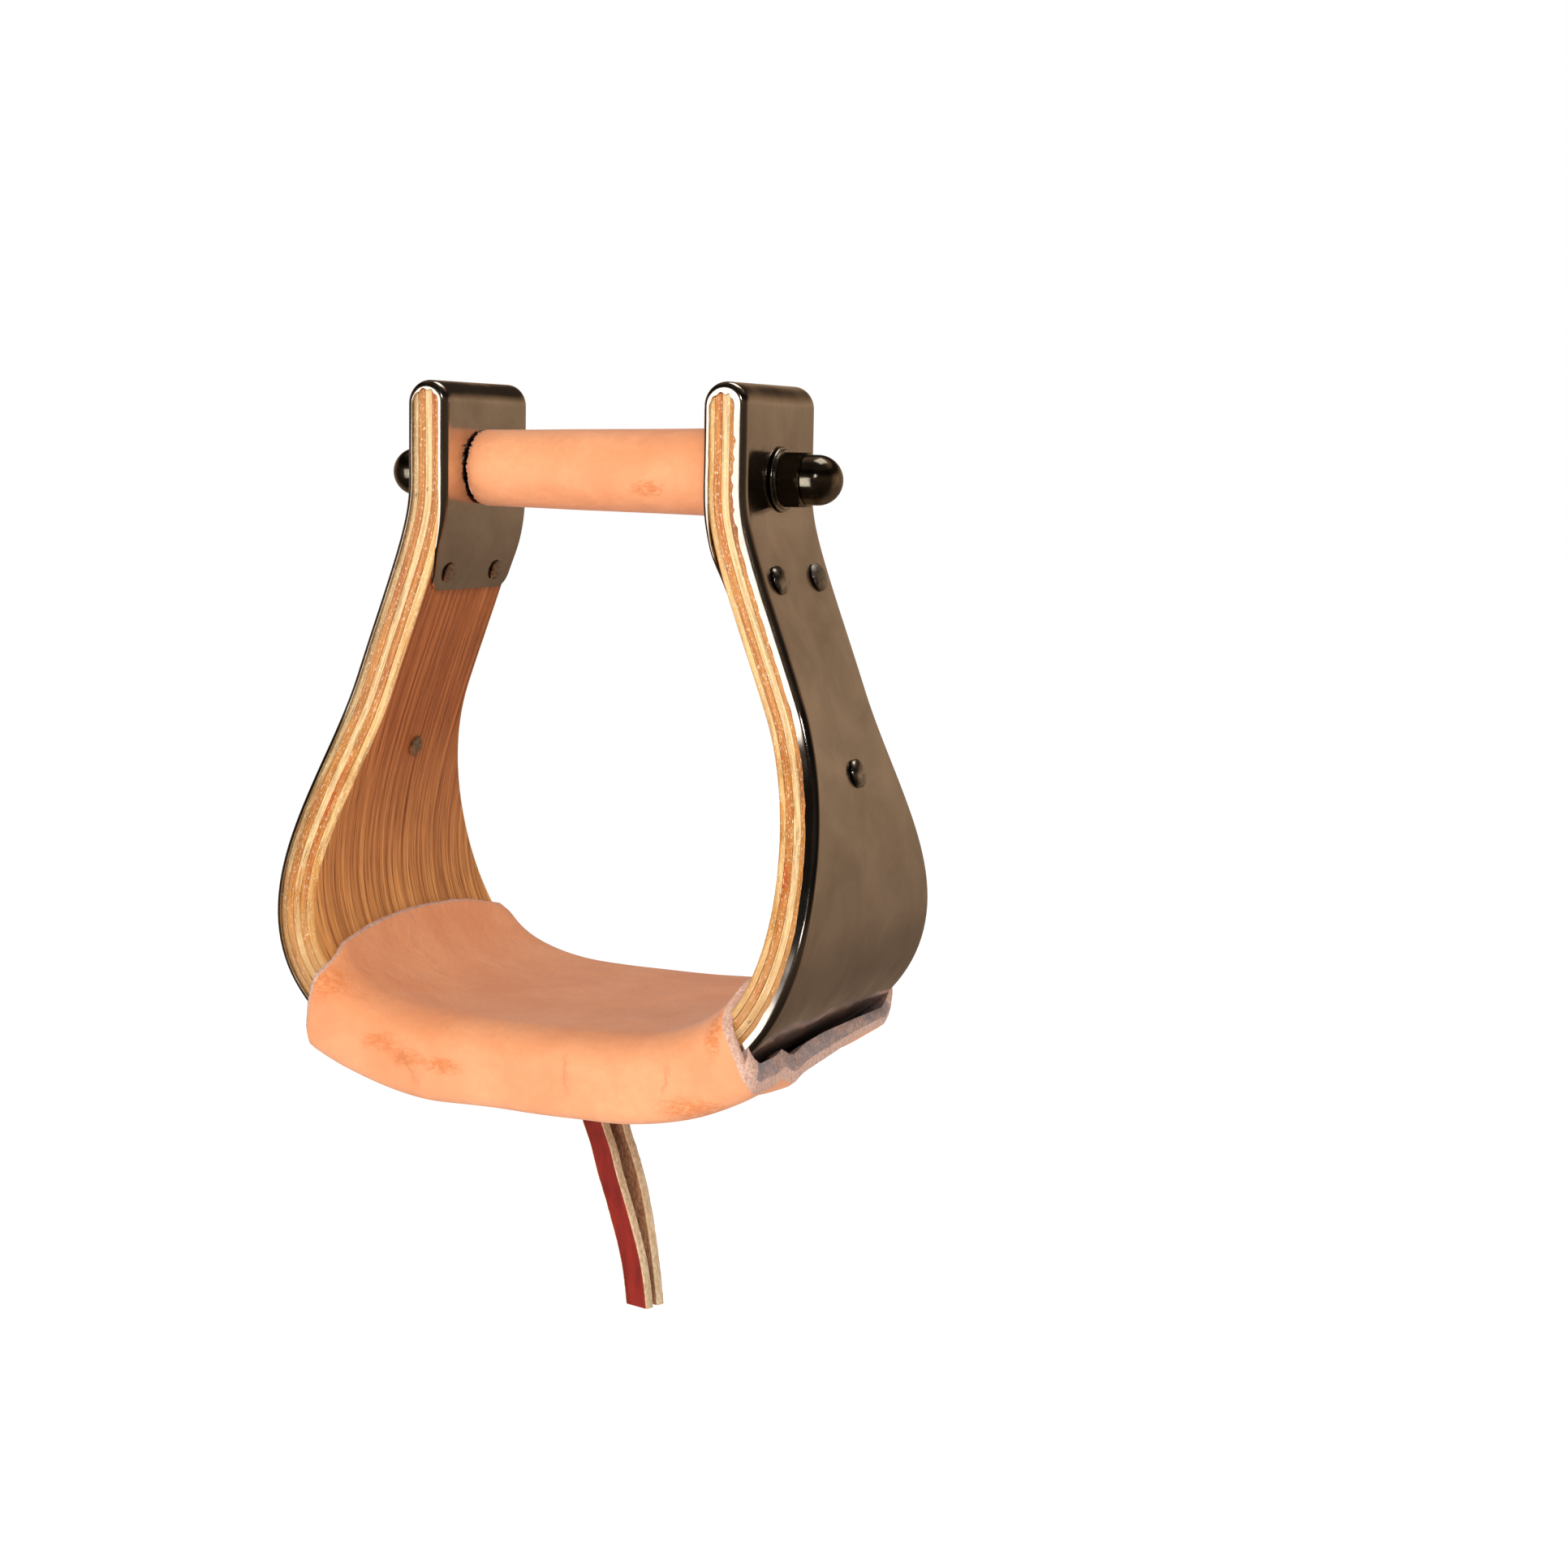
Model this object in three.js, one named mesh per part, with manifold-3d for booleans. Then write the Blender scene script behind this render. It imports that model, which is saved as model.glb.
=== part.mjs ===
// Western bell stirrup: a bow of five bent wood plies, bound in polished steel, with a leather-covered
// tread and a leather-covered roller on a cross rod. Millimetres, +Z up, +X along the roller, +Y to the
// back. The origin is the middle of the cross rod, where the stirrup leather carries the stirrup.

import * as THREE from 'three';
import { mergeVertices } from 'three/addons/utils/BufferGeometryUtils.js';
import Module from 'manifold-3d';

const wasm = await Module();
wasm.setup();

// ---- driving dimensions ------------------------------------------------------------------------------

// Control points (x, z) of the uniform cubic B-spline that the bow's inner wood face follows, from the
// middle of the tread up the right arm. The left arm mirrors it. The last three make the neck straight.
const BOW_POINTS = [
  [0, -151.8], [33.8, -152], [60.5, -138.5], [70.5, -113.9], [64, -79.5],
  [50.2, -43.3], [38.9, -13.3], [39.2, 1.2], [39.2, 18.7], [39.2, 36.2],
];
const BOW_END = BOW_POINTS.length - 2;      // spline parameter at which the straight neck ends
const STATIONS_PER_SPAN = 4;

const PLY_COUNT = 5;
const GLUE_LINE = 0.1;
const WOOD_THICKNESS = 10.6;
const PLY_THICKNESS = (WOOD_THICKNESS - GLUE_LINE * (PLY_COUNT - 1)) / PLY_COUNT;

const NECK_HALF_DEPTH = 21.6;               // half of the wood's front-to-back size beside the roller
const TREAD_HALF_DEPTH = 47;                // and the same at the tread
const FLARE_TOP = -60;                      // the depth grows between these two heights
const FLARE_BOTTOM = -133;

const STEEL = 0.8;                          // sheet thickness
const FIT = 0.12;                           // clearance between the steel and the wood
const LIP = 2.4;                            // how far the lips reach over the wood's edges
const TONGUE_END = -32;                     // height of the tongue's lower edge on the inner faces
const TOP_ARC_STEPS = 10;

const ROD_RADIUS = 4.75;                    // 3/8 in rod
const ROD_HALF_LENGTH = 62;
const CAP_NUT_TIP = 68;
const NUT_ACROSS_FLATS = 14.3;
const NUT_HEX_HEIGHT = 6;
const NUT_DOME_RADIUS = 6.65;
const WASHER_RADIUS = 8.7;
const WASHER_THICKNESS = 1.3;
const WASHER_GAP = 0.5;                     // between the binding and the washer

const ROLLER_GAP = 0.5;                     // end play between the roller and each tongue
const ROLLER_Y = -3.2;                      // the roller is a loose tube, which rests against the rod,
const ROLLER_Z = 1.5;                       // so its own axis lies in front of the rod's and above it
const TUBE_RADIUS = 9;
const TUBE_BORE = 8.5;
const SLEEVE_LEFT_RADIUS = 10.5;            // the leather sleeve is a little conical
const SLEEVE_RIGHT_RADIUS = 11.8;
const SLEEVE_GAP = 0.15;

const RIVET_RADIUS = 2.1;
const RIVET_HEAD_RADIUS = 3.9;
const RIVET_HEAD_HEIGHT = 1.9;
const RIVET_TAIL_RADIUS = 3;
const RIVET_TAIL_HEIGHT = 0.9;
const RIVET_GAP = 0.3;                      // under the head and the tail, because the arm is curved there
const UPPER_RIVET_OFFSET = 12.6;            // in front of the middle and behind it
const RIVET_HEIGHTS = {                     // on the inner wood face; the right arm's sit lower
  left: { upper: -27, mid: -77.5 },
  right: { upper: -30, mid: -80 },
};

const LEATHER = 3;                          // tread cover
const LEATHER_GAP = 0.3;
const TREAD_LIFT = 7.6;                     // cover's top above the wood in the middle of the tread
const LIFT_FADE_START = 0.5;                // spline parameters between which the packing thins out
const LIFT_FADE_END = 2.2;
const COVER_REACH = 10;                     // stations from the middle to each end of the cover
const BLOCK_REACH = 6;                      // and of the packing
const COVER_BASE = -167.1;                  // the cover's underside
const BASE_FLAT = 24;                       // half width of its flat middle
const COVER_END_BASE_X = 67;                // where the cover ends below the arm
const COVER_END_BASE_Z = -155.5;

const LACE_WIDTH = 4;
const LACE_THICKNESS = 1.4;
const LACE_HALF_RUN = 52;                   // the lacing's half length along the tread
const LACE_HALF_SPREAD = 11;
const LACE_CROSSINGS = 9;
const TAIL_WIDTH = 8;
const TAIL_THICKNESS = 2.8;
const TAIL_TURN = -14.8;                    // degrees that the tails' wide faces turn towards -X

// ---- materials ---------------------------------------------------------------------------------------

function finish(color, roughness, metalness) {
  return new THREE.MeshStandardMaterial({ color, roughness, metalness });
}
const PALE_WOOD = () => finish(0xd9b07a, 0.55, 0);
const ORANGE_WOOD = () => finish(0xb5722f, 0.55, 0);
const OAK = () => finish(0xa8683a, 0.6, 0);
const POLISHED_STEEL = () => finish(0x9a8672, 0.12, 1);
const DARK_NICKEL = () => finish(0x4a4036, 0.2, 1);
const SKIRTING = () => finish(0xdf9c72, 0.65, 0);
const LATIGO = () => finish(0x862a1c, 0.55, 0);

// ---- solids ------------------------------------------------------------------------------------------

// A closed geometry with its shared corners joined, as a manifold solid.
function toSolid(geometry) {
  const bare = geometry.clone();
  bare.deleteAttribute('normal');
  bare.deleteAttribute('uv');
  const merged = mergeVertices(bare, 1e-5);
  const mesh = new wasm.Mesh({
    numProp: 3,
    vertProperties: new Float32Array(merged.attributes.position.array),
    triVerts: new Uint32Array(merged.index.array),
  });
  return new wasm.Manifold(mesh);
}

function toGeometry(solid) {
  const mesh = solid.getMesh();
  const geometry = new THREE.BufferGeometry();
  geometry.setAttribute('position', new THREE.BufferAttribute(new Float32Array(mesh.vertProperties), 3));
  geometry.setIndex(new THREE.BufferAttribute(new Uint32Array(mesh.triVerts), 1));
  const flat = geometry.toNonIndexed();
  flat.computeVertexNormals();
  return flat;
}

function cut(geometry, tools) {
  const solid = tools.reduce((rest, tool) => rest.subtract(toSolid(tool)), toSolid(geometry));
  return toGeometry(solid);
}

// Moves every vertex of a geometry to where place(x, y, z) says.
function bend(geometry, place) {
  const position = geometry.attributes.position;
  const vertex = new THREE.Vector3();
  for (let i = 0; i < position.count; i += 1) {
    vertex.fromBufferAttribute(position, i);
    const moved = place(vertex.x, vertex.y, vertex.z);
    position.setXYZ(i, moved.x, moved.y, moved.z);
  }
  geometry.computeVertexNormals();
  return geometry;
}

// A lathe geometry turned so that its axis lies along +X; the profile gives [radius, x] pairs.
function turned(profile, segments) {
  const points = profile.map(([radius, x]) => new THREE.Vector2(radius, x));
  return new THREE.LatheGeometry(points, segments).rotateZ(-Math.PI / 2);
}

function rod(radius, from, to, segments) {
  return turned([[0, from], [radius, from], [radius, to], [0, to]], segments);
}

// ---- the bow's path ----------------------------------------------------------------------------------

function controlPoint(i) {
  const [x, z] = BOW_POINTS[Math.abs(i)];
  return [Math.sign(i) * x, z];
}

// A point and its outward normal on the inner wood face; t runs from -BOW_END, left, to BOW_END, right.
function bowFrame(t) {
  const span = Math.min(Math.floor(t), BOW_END - 1);
  const f = t - span;
  const g = 1 - f;
  const weights = [g ** 3, 3 * f ** 3 - 6 * f ** 2 + 4, 3 * g ** 3 - 6 * g ** 2 + 4, f ** 3];
  const slopes = [-3 * g * g, 9 * f * f - 12 * f, -9 * g * g + 12 * g, 3 * f * f];
  let [x, z, dx, dz] = [0, 0, 0, 0];
  for (let k = 0; k < 4; k += 1) {
    const [cx, cz] = controlPoint(span - 1 + k);
    x += weights[k] * cx / 6;
    z += weights[k] * cz / 6;
    dx += slopes[k] * cx / 6;
    dz += slopes[k] * cz / 6;
  }
  const length = Math.hypot(dx, dz);
  return { x, z, nx: dz / length, nz: -dx / length };
}

// Half of the wood's depth at a height.
function halfDepth(z) {
  const t = THREE.MathUtils.smoothstep(-z, -FLARE_TOP, -FLARE_BOTTOM);
  return THREE.MathUtils.lerp(NECK_HALF_DEPTH, TREAD_HALF_DEPTH, t);
}

// The bow's spline parameter on the right arm at a height above the tread's corner.
function parameterAtHeight(z) {
  let [low, high] = [3, BOW_END];
  for (let i = 0; i < 40; i += 1) {
    const middle = (low + high) / 2;
    if (bowFrame(middle).z < z) low = middle;
    else high = middle;
  }
  return (low + high) / 2;
}

// ---- wood --------------------------------------------------------------------------------------------

// How far a ply rises above the neck's end, so that the five ends make the arm's round top.
function topRise(depth) {
  const radius = WOOD_THICKNESS / 2;
  return Math.sqrt(Math.max(radius ** 2 - (depth - radius) ** 2, 0));
}

function plyGeometry(index) {
  const inner = index * (PLY_THICKNESS + GLUE_LINE);
  const steps = 2 * BOW_END * STATIONS_PER_SPAN;
  const box = new THREE.BoxGeometry(1, 1, 1, steps, 1, 1);
  return bend(box, (along, side, through) => {
    const t = along * 2 * BOW_END;
    const frame = bowFrame(t);
    const depth = inner + (through + 0.5) * PLY_THICKNESS;
    const rise = Math.abs(t) > BOW_END - 1e-6 ? topRise(depth) : 0;
    const half = halfDepth(frame.z);
    return {
      x: frame.x + frame.nx * depth,
      y: -side * 2 * half,
      z: frame.z + frame.nz * depth + rise,
    };
  });
}

// ---- holes through the arms --------------------------------------------------------------------------

// Turns a geometry made along +X so that it points out of the arm at a station of the right arm.
function placeOnArm(geometry, t, y, mirror) {
  const frame = bowFrame(t);
  geometry.rotateY(Math.atan2(-frame.nz, frame.nx));
  geometry.translate(frame.x, y, frame.z);
  if (mirror < 0) geometry.rotateZ(Math.PI);
  return geometry;
}

const RIVETS = [-1, 1].flatMap((side) => {
  const arm = side < 0 ? 'left' : 'right';
  const upper = parameterAtHeight(RIVET_HEIGHTS[arm].upper);
  const mid = parameterAtHeight(RIVET_HEIGHTS[arm].mid);
  return [
    { name: `rivet_upper_${arm}_front`, side, t: upper, y: -UPPER_RIVET_OFFSET, tongue: true },
    { name: `rivet_upper_${arm}_back`, side, t: upper, y: UPPER_RIVET_OFFSET, tongue: true },
    { name: `rivet_mid_${arm}`, side, t: mid, y: 0, tongue: false },
  ];
});

function rivetHole({ side, t, y }) {
  const hole = rod(RIVET_RADIUS + 0.15, -4, WOOD_THICKNESS + 4, 8);
  return placeOnArm(hole, t, side * y, side);
}

function armHoles() {
  const rodHole = rod(ROD_RADIUS + 0.25, -ROD_HALF_LENGTH, ROD_HALF_LENGTH, 16);
  return [rodHole, ...RIVETS.map(rivetHole)];
}

// ---- steel binding -----------------------------------------------------------------------------------

// The right half of the binding's route, from the tread's middle to the tongue's end. Each stop is a
// point on the wood's surface with the direction that faces away from the wood.
function bindingStops() {
  const stops = [];
  const count = BOW_END * STATIONS_PER_SPAN;
  for (let i = 0; i <= count; i += 1) {
    const frame = bowFrame(i / STATIONS_PER_SPAN);
    stops.push({
      x: frame.x + frame.nx * WOOD_THICKNESS,
      z: frame.z + frame.nz * WOOD_THICKNESS,
      nx: frame.nx,
      nz: frame.nz,
      half: halfDepth(frame.z),
    });
  }
  const top = bowFrame(BOW_END);
  const radius = WOOD_THICKNESS / 2;
  for (let i = 1; i < TOP_ARC_STEPS; i += 1) {
    const angle = (Math.PI * i) / TOP_ARC_STEPS;
    const nx = Math.cos(angle);
    const nz = Math.sin(angle);
    stops.push({ x: top.x + radius + radius * nx, z: top.z + radius * nz, nx, nz, half: NECK_HALF_DEPTH });
  }
  const end = parameterAtHeight(TONGUE_END);
  const tongueSteps = Math.ceil((BOW_END - end) * STATIONS_PER_SPAN);
  for (let i = 0; i <= tongueSteps; i += 1) {
    const t = Math.max(BOW_END - i / STATIONS_PER_SPAN, end);
    const frame = bowFrame(t);
    stops.push({ x: frame.x, z: frame.z, nx: -frame.nx, nz: -frame.nz, half: NECK_HALF_DEPTH });
  }
  return stops;
}

// The binding's section in (distance from the wood, depth); depths beyond 1 are millimetres past the
// wood's edge.
function bindingSection() {
  const outside = FIT + STEEL;
  const edge = 1 + FIT;
  const rim = 1 + FIT + STEEL;
  const round = 0.5;
  const points = [
    [-LIP, -rim], [outside - round, -rim], [outside, -rim + round], [outside, rim - round],
    [outside - round, rim], [-LIP, rim], [-LIP, edge], [FIT, edge], [FIT, -edge], [-LIP, -edge],
  ];
  return new THREE.Shape(points.map(([x, y]) => new THREE.Vector2(x, y)));
}

function bindingGeometry() {
  const half = bindingStops();
  const left = half.slice(1).reverse().map((stop) => ({ ...stop, x: -stop.x, nx: -stop.nx }));
  const stops = [...left, ...half];
  const steps = stops.length - 1;
  const strip = new THREE.ExtrudeGeometry(bindingSection(), { steps, depth: steps, bevelEnabled: false });
  return bend(strip, (out, side, along) => {
    const stop = stops[Math.round(along)];
    const beyond = Math.max(Math.abs(side) - 1, 0);
    const y = Math.min(Math.abs(side), 1) * stop.half + beyond;
    return { x: stop.x + stop.nx * out, y: Math.sign(side) * y, z: stop.z + stop.nz * out };
  });
}

// ---- tread -------------------------------------------------------------------------------------------

// How far the cover's outer surface stands above the bow's inner wood face at a station.
function coverLift(t) {
  const thinned = THREE.MathUtils.smoothstep(Math.abs(t), LIFT_FADE_START, LIFT_FADE_END);
  return THREE.MathUtils.lerp(TREAD_LIFT, LEATHER + LEATHER_GAP, thinned);
}

function liftedPoint(t, lift) {
  const frame = bowFrame(t);
  return { x: frame.x - frame.nx * lift, z: frame.z - frame.nz * lift };
}

// Height of the cover's underside: flat in the middle, then rising towards the ends.
function coverBase(x) {
  const run = Math.max(Math.abs(x) - BASE_FLAT, 0) / (COVER_END_BASE_X - BASE_FLAT);
  return COVER_BASE + (COVER_END_BASE_Z - COVER_BASE) * run ** 2;
}

// A tunnel-shaped solid around the tread, from the station -reach to the station +reach. The inset
// shrinks it, so that the cover is the full solid less the inset one.
function treadLoft(inset, reach, corner, curveSegments) {
  const section = new THREE.Shape();
  section.absarc(1 - corner, 1 - corner, corner, 0, Math.PI / 2);
  section.absarc(-1 + corner, 1 - corner, corner, Math.PI / 2, Math.PI);
  section.absarc(-1 + corner, -1 + corner, corner, Math.PI, 1.5 * Math.PI);
  section.absarc(1 - corner, -1 + corner, corner, 1.5 * Math.PI, 2 * Math.PI);
  const steps = 2 * reach;
  const options = { steps, depth: steps, curveSegments, bevelEnabled: false };
  const half = TREAD_HALF_DEPTH + FIT + STEEL + LEATHER_GAP + LEATHER - inset;
  return bend(new THREE.ExtrudeGeometry(section, options), (side, up, along) => {
    const t = (along - reach) / STATIONS_PER_SPAN;
    const top = liftedPoint(t, coverLift(t) - inset);
    const baseX = (COVER_END_BASE_X * (along - reach)) / COVER_REACH;
    const share = (up + 1) / 2;
    return {
      x: THREE.MathUtils.lerp(baseX, top.x, share),
      y: side * half,
      z: THREE.MathUtils.lerp(coverBase(baseX) + inset, top.z, share),
    };
  });
}

function coverGeometry() {
  const outer = toSolid(treadLoft(0, COVER_REACH, 0.25, 3));
  const inner = toSolid(treadLoft(LEATHER, COVER_REACH + 2, 0.1, 1));
  return toGeometry(outer.subtract(inner));
}

// The packing on the bow's floor that gives the tread its thickness.
function blockGeometry() {
  const steps = 2 * BLOCK_REACH;
  const box = new THREE.BoxGeometry(steps, 2 * (TREAD_HALF_DEPTH - 0.6), 1, steps, 1, 1);
  return bend(box, (along, y, through) => {
    const t = along / STATIONS_PER_SPAN;
    const top = coverLift(t) - LEATHER - LEATHER_GAP;
    const point = liftedPoint(t, through > 0 ? top : LEATHER_GAP);
    return { x: point.x, y, z: point.z };
  });
}

// ---- roller, rod and nuts ----------------------------------------------------------------------------

const TONGUE_FACE = BOW_POINTS[BOW_END][0] - FIT - STEEL;
const BINDING_FACE = BOW_POINTS[BOW_END][0] + WOOD_THICKNESS + FIT + STEEL;
const ROLLER_END = TONGUE_FACE - ROLLER_GAP;

function tubeGeometry() {
  const end = ROLLER_END - 0.4;
  const profile = [
    [TUBE_BORE, -end], [TUBE_RADIUS, -end], [TUBE_RADIUS, end], [TUBE_BORE, end], [TUBE_BORE, -end],
  ];
  return turned(profile, 28).translate(0, ROLLER_Y, ROLLER_Z);
}

function sleeveGeometry() {
  const bore = TUBE_RADIUS + SLEEVE_GAP;
  const round = 0.6;
  const profile = [
    [bore, -ROLLER_END], [SLEEVE_LEFT_RADIUS - round, -ROLLER_END], [SLEEVE_LEFT_RADIUS, -ROLLER_END + round],
    [SLEEVE_RIGHT_RADIUS, ROLLER_END - round], [SLEEVE_RIGHT_RADIUS - round, ROLLER_END],
    [bore, ROLLER_END], [bore, -ROLLER_END],
  ];
  return turned(profile, 28).translate(0, ROLLER_Y, ROLLER_Z);
}

function washerGeometry() {
  const inside = BINDING_FACE + WASHER_GAP;
  const outside = inside + WASHER_THICKNESS;
  const hole = ROD_RADIUS + 0.25;
  const profile = [
    [hole, inside], [WASHER_RADIUS, inside], [WASHER_RADIUS, outside], [hole, outside], [hole, inside],
  ];
  return turned(profile, 24);
}

function capNutGeometry() {
  const seat = BINDING_FACE + WASHER_GAP + WASHER_THICKNESS + 0.05;
  const hexEnd = seat + NUT_HEX_HEIGHT;
  const domeCentre = CAP_NUT_TIP - NUT_DOME_RADIUS;
  const corner = NUT_ACROSS_FLATS / Math.sqrt(3);
  const hex = turned([[0, seat], [corner, seat], [corner, hexEnd], [0, hexEnd]], 6).rotateX(Math.PI / 2);
  const chamfer = turned([
    [0, seat], [corner - 0.9, seat], [corner, seat + 0.6], [corner, hexEnd - 0.7],
    [corner - 1.2, hexEnd], [0, hexEnd],
  ], 24);
  const dome = [[0, seat + 1], [NUT_DOME_RADIUS, seat + 1], [NUT_DOME_RADIUS, domeCentre]];
  const domeSteps = 6;
  for (let i = 1; i <= domeSteps; i += 1) {
    const angle = (Math.PI / 2) * (i / domeSteps);
    const radius = i === domeSteps ? 0 : NUT_DOME_RADIUS * Math.cos(angle);
    dome.push([radius, domeCentre + NUT_DOME_RADIUS * Math.sin(angle)]);
  }
  const bore = rod(ROD_RADIUS + 0.15, seat - 1, ROD_HALF_LENGTH + 0.3, 16);
  const body = toSolid(hex).intersect(toSolid(chamfer)).add(toSolid(turned(dome, 20)));
  return toGeometry(body.subtract(toSolid(bore)));
}

// ---- rivets ------------------------------------------------------------------------------------------

// A domed head outside the binding, a shank through the arm, and a peened tail on the inner face.
function rivetGeometry({ side, t, y, tongue }) {
  const skin = FIT + STEEL + RIVET_GAP;
  const head = WOOD_THICKNESS + skin;
  const tail = tongue ? -skin : -RIVET_GAP;
  const profile = [
    [0, tail - RIVET_TAIL_HEIGHT], [RIVET_TAIL_RADIUS * 0.75, tail - RIVET_TAIL_HEIGHT],
    [RIVET_TAIL_RADIUS, tail - RIVET_TAIL_HEIGHT * 0.4], [RIVET_TAIL_RADIUS, tail],
    [RIVET_RADIUS, tail], [RIVET_RADIUS, head], [RIVET_HEAD_RADIUS, head],
  ];
  const domeSteps = 3;
  for (let i = 1; i < domeSteps; i += 1) {
    const angle = (Math.PI / 2) * (i / domeSteps);
    profile.push([RIVET_HEAD_RADIUS * Math.cos(angle), head + RIVET_HEAD_HEIGHT * Math.sin(angle)]);
  }
  profile.push([0, head + RIVET_HEAD_HEIGHT]);
  return placeOnArm(turned(profile, 10), t, side * y, side);
}

// ---- laces -------------------------------------------------------------------------------------------

// The lace that closes the cover underneath, as one flat zigzag on the cover's underside.
function laceGeometry() {
  const step = (2 * LACE_HALF_RUN) / LACE_CROSSINGS;
  const slant = Math.hypot(step, 2 * LACE_HALF_SPREAD) / step;
  const halfRise = (LACE_WIDTH / 2) * slant;
  const upper = [];
  const lower = [];
  for (let i = 0; i <= LACE_CROSSINGS; i += 1) {
    const x = -LACE_HALF_RUN + step * i;
    const y = (i % 2 ? 1 : -1) * LACE_HALF_SPREAD;
    lower.push(new THREE.Vector2(x, y - halfRise));
    upper.unshift(new THREE.Vector2(x, y + halfRise));
  }
  const shape = new THREE.Shape([...lower, ...upper]);
  const strap = new THREE.ExtrudeGeometry(shape, { steps: 1, depth: 1, bevelEnabled: false });
  return bend(strap, (x, y, through) => ({
    x, y, z: coverBase(x) - LEATHER_GAP - LACE_THICKNESS * (1 - through),
  }));
}

// Centre lines of the lace's two free tails, (x, y, z), from the seam downwards.
const FRONT_TAIL = [
  [-2.6, -3, -169], [-2.4, -3, -173.5], [-1.7, -3, -177.5], [-0.2, -3, -181.5], [1.4, -3, -185.5],
  [2.6, -3, -189.5], [3.8, -3, -193.5], [5.2, -3, -197.5], [6.6, -3, -201.5], [7.9, -3, -205.5],
  [9.2, -3, -209.5], [10.4, -3, -213.5], [11.4, -3, -217.5], [12.2, -3, -221.5], [12.8, -3, -225.5],
  [13.3, -3, -230],
];
const BACK_TAIL = [
  [1.6, 1.4, -169], [1.9, 1.4, -173.5], [2.5, 1.4, -177.5], [3.5, 1.4, -181.5], [5, 1.4, -185.5],
  [6.5, 1.4, -189.5], [7.8, 1.4, -193.5], [9, 1.4, -197.5], [9.9, 1.4, -201.5], [10.8, 1.4, -205.5],
  [11.5, 1.4, -209.5], [12.2, 1.4, -213.5], [12.8, 1.4, -217.5], [13.4, 1.4, -221.5], [13.9, 1.4, -225.5],
  [14.4, 1.4, -230],
];

// A flat strap down a centre line, with level cross-sections turned by TAIL_TURN.
function tailGeometry(points) {
  const path = new THREE.CatmullRomCurve3(points.map(([x, y, z]) => new THREE.Vector3(x, y, z)));
  const turn = THREE.MathUtils.degToRad(TAIL_TURN);
  const strap = new THREE.BoxGeometry(TAIL_WIDTH, TAIL_THICKNESS, 1, 1, 1, 2 * points.length);
  return bend(strap, (across, through, along) => {
    const centre = path.getPoint(0.5 - along);
    return {
      x: centre.x + across * Math.cos(turn) - through * Math.sin(turn),
      y: centre.y + across * Math.sin(turn) + through * Math.cos(turn),
      z: centre.z,
    };
  });
}

// ---- the assembly ------------------------------------------------------------------------------------

const stirrup = new THREE.Group();

function addPart(name, geometry, material) {
  const mesh = new THREE.Mesh(geometry, material);
  mesh.name = name;
  stirrup.add(mesh);
}

const PLY_FINISHES = [OAK, ORANGE_WOOD, PALE_WOOD, ORANGE_WOOD, PALE_WOOD];
PLY_FINISHES.forEach((material, index) => {
  addPart(`ply_${index + 1}`, cut(plyGeometry(index), armHoles()), material());
});
addPart('steel_binding', cut(bindingGeometry(), armHoles()), POLISHED_STEEL());

addPart('tread_block', blockGeometry(), PALE_WOOD());
addPart('tread_cover', coverGeometry(), SKIRTING());
addPart('tread_lace', laceGeometry(), LATIGO());
addPart('lace_tail_front', tailGeometry(FRONT_TAIL), LATIGO());
addPart('lace_tail_back', tailGeometry(BACK_TAIL), LATIGO());

addPart('cross_rod', rod(ROD_RADIUS, -ROD_HALF_LENGTH, ROD_HALF_LENGTH, 16), DARK_NICKEL());
addPart('washer_right', washerGeometry(), POLISHED_STEEL());
addPart('washer_left', washerGeometry().rotateZ(Math.PI), POLISHED_STEEL());
addPart('cap_nut_right', capNutGeometry(), DARK_NICKEL());
addPart('cap_nut_left', capNutGeometry().rotateZ(Math.PI), DARK_NICKEL());
addPart('roller_tube', tubeGeometry(), POLISHED_STEEL());
addPart('roller_sleeve', sleeveGeometry(), SKIRTING());

for (const rivet of RIVETS) {
  addPart(rivet.name, rivetGeometry(rivet), POLISHED_STEEL());
}

export default stirrup;
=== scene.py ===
import math

import bmesh
import bpy
from mathutils import Matrix, Vector, noise


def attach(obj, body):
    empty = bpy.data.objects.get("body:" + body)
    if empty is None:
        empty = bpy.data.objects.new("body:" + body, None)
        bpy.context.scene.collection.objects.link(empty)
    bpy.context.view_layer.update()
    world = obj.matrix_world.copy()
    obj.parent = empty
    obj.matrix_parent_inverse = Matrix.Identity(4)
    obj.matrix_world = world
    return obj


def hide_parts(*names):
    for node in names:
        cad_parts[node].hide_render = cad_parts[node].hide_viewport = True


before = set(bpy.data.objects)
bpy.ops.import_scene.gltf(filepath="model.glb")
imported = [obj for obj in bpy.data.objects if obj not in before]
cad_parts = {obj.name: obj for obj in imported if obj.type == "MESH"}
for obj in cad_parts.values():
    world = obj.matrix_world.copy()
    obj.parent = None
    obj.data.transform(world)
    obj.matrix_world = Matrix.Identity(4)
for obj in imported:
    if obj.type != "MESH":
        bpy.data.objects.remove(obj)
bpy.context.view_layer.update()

# Lengths are millimetres, as in the CAD, and become metres where a mesh or an object is made.
MM = 0.001

# ---- the object's dimensions, as the CAD has them --------------------------------------------------

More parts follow.
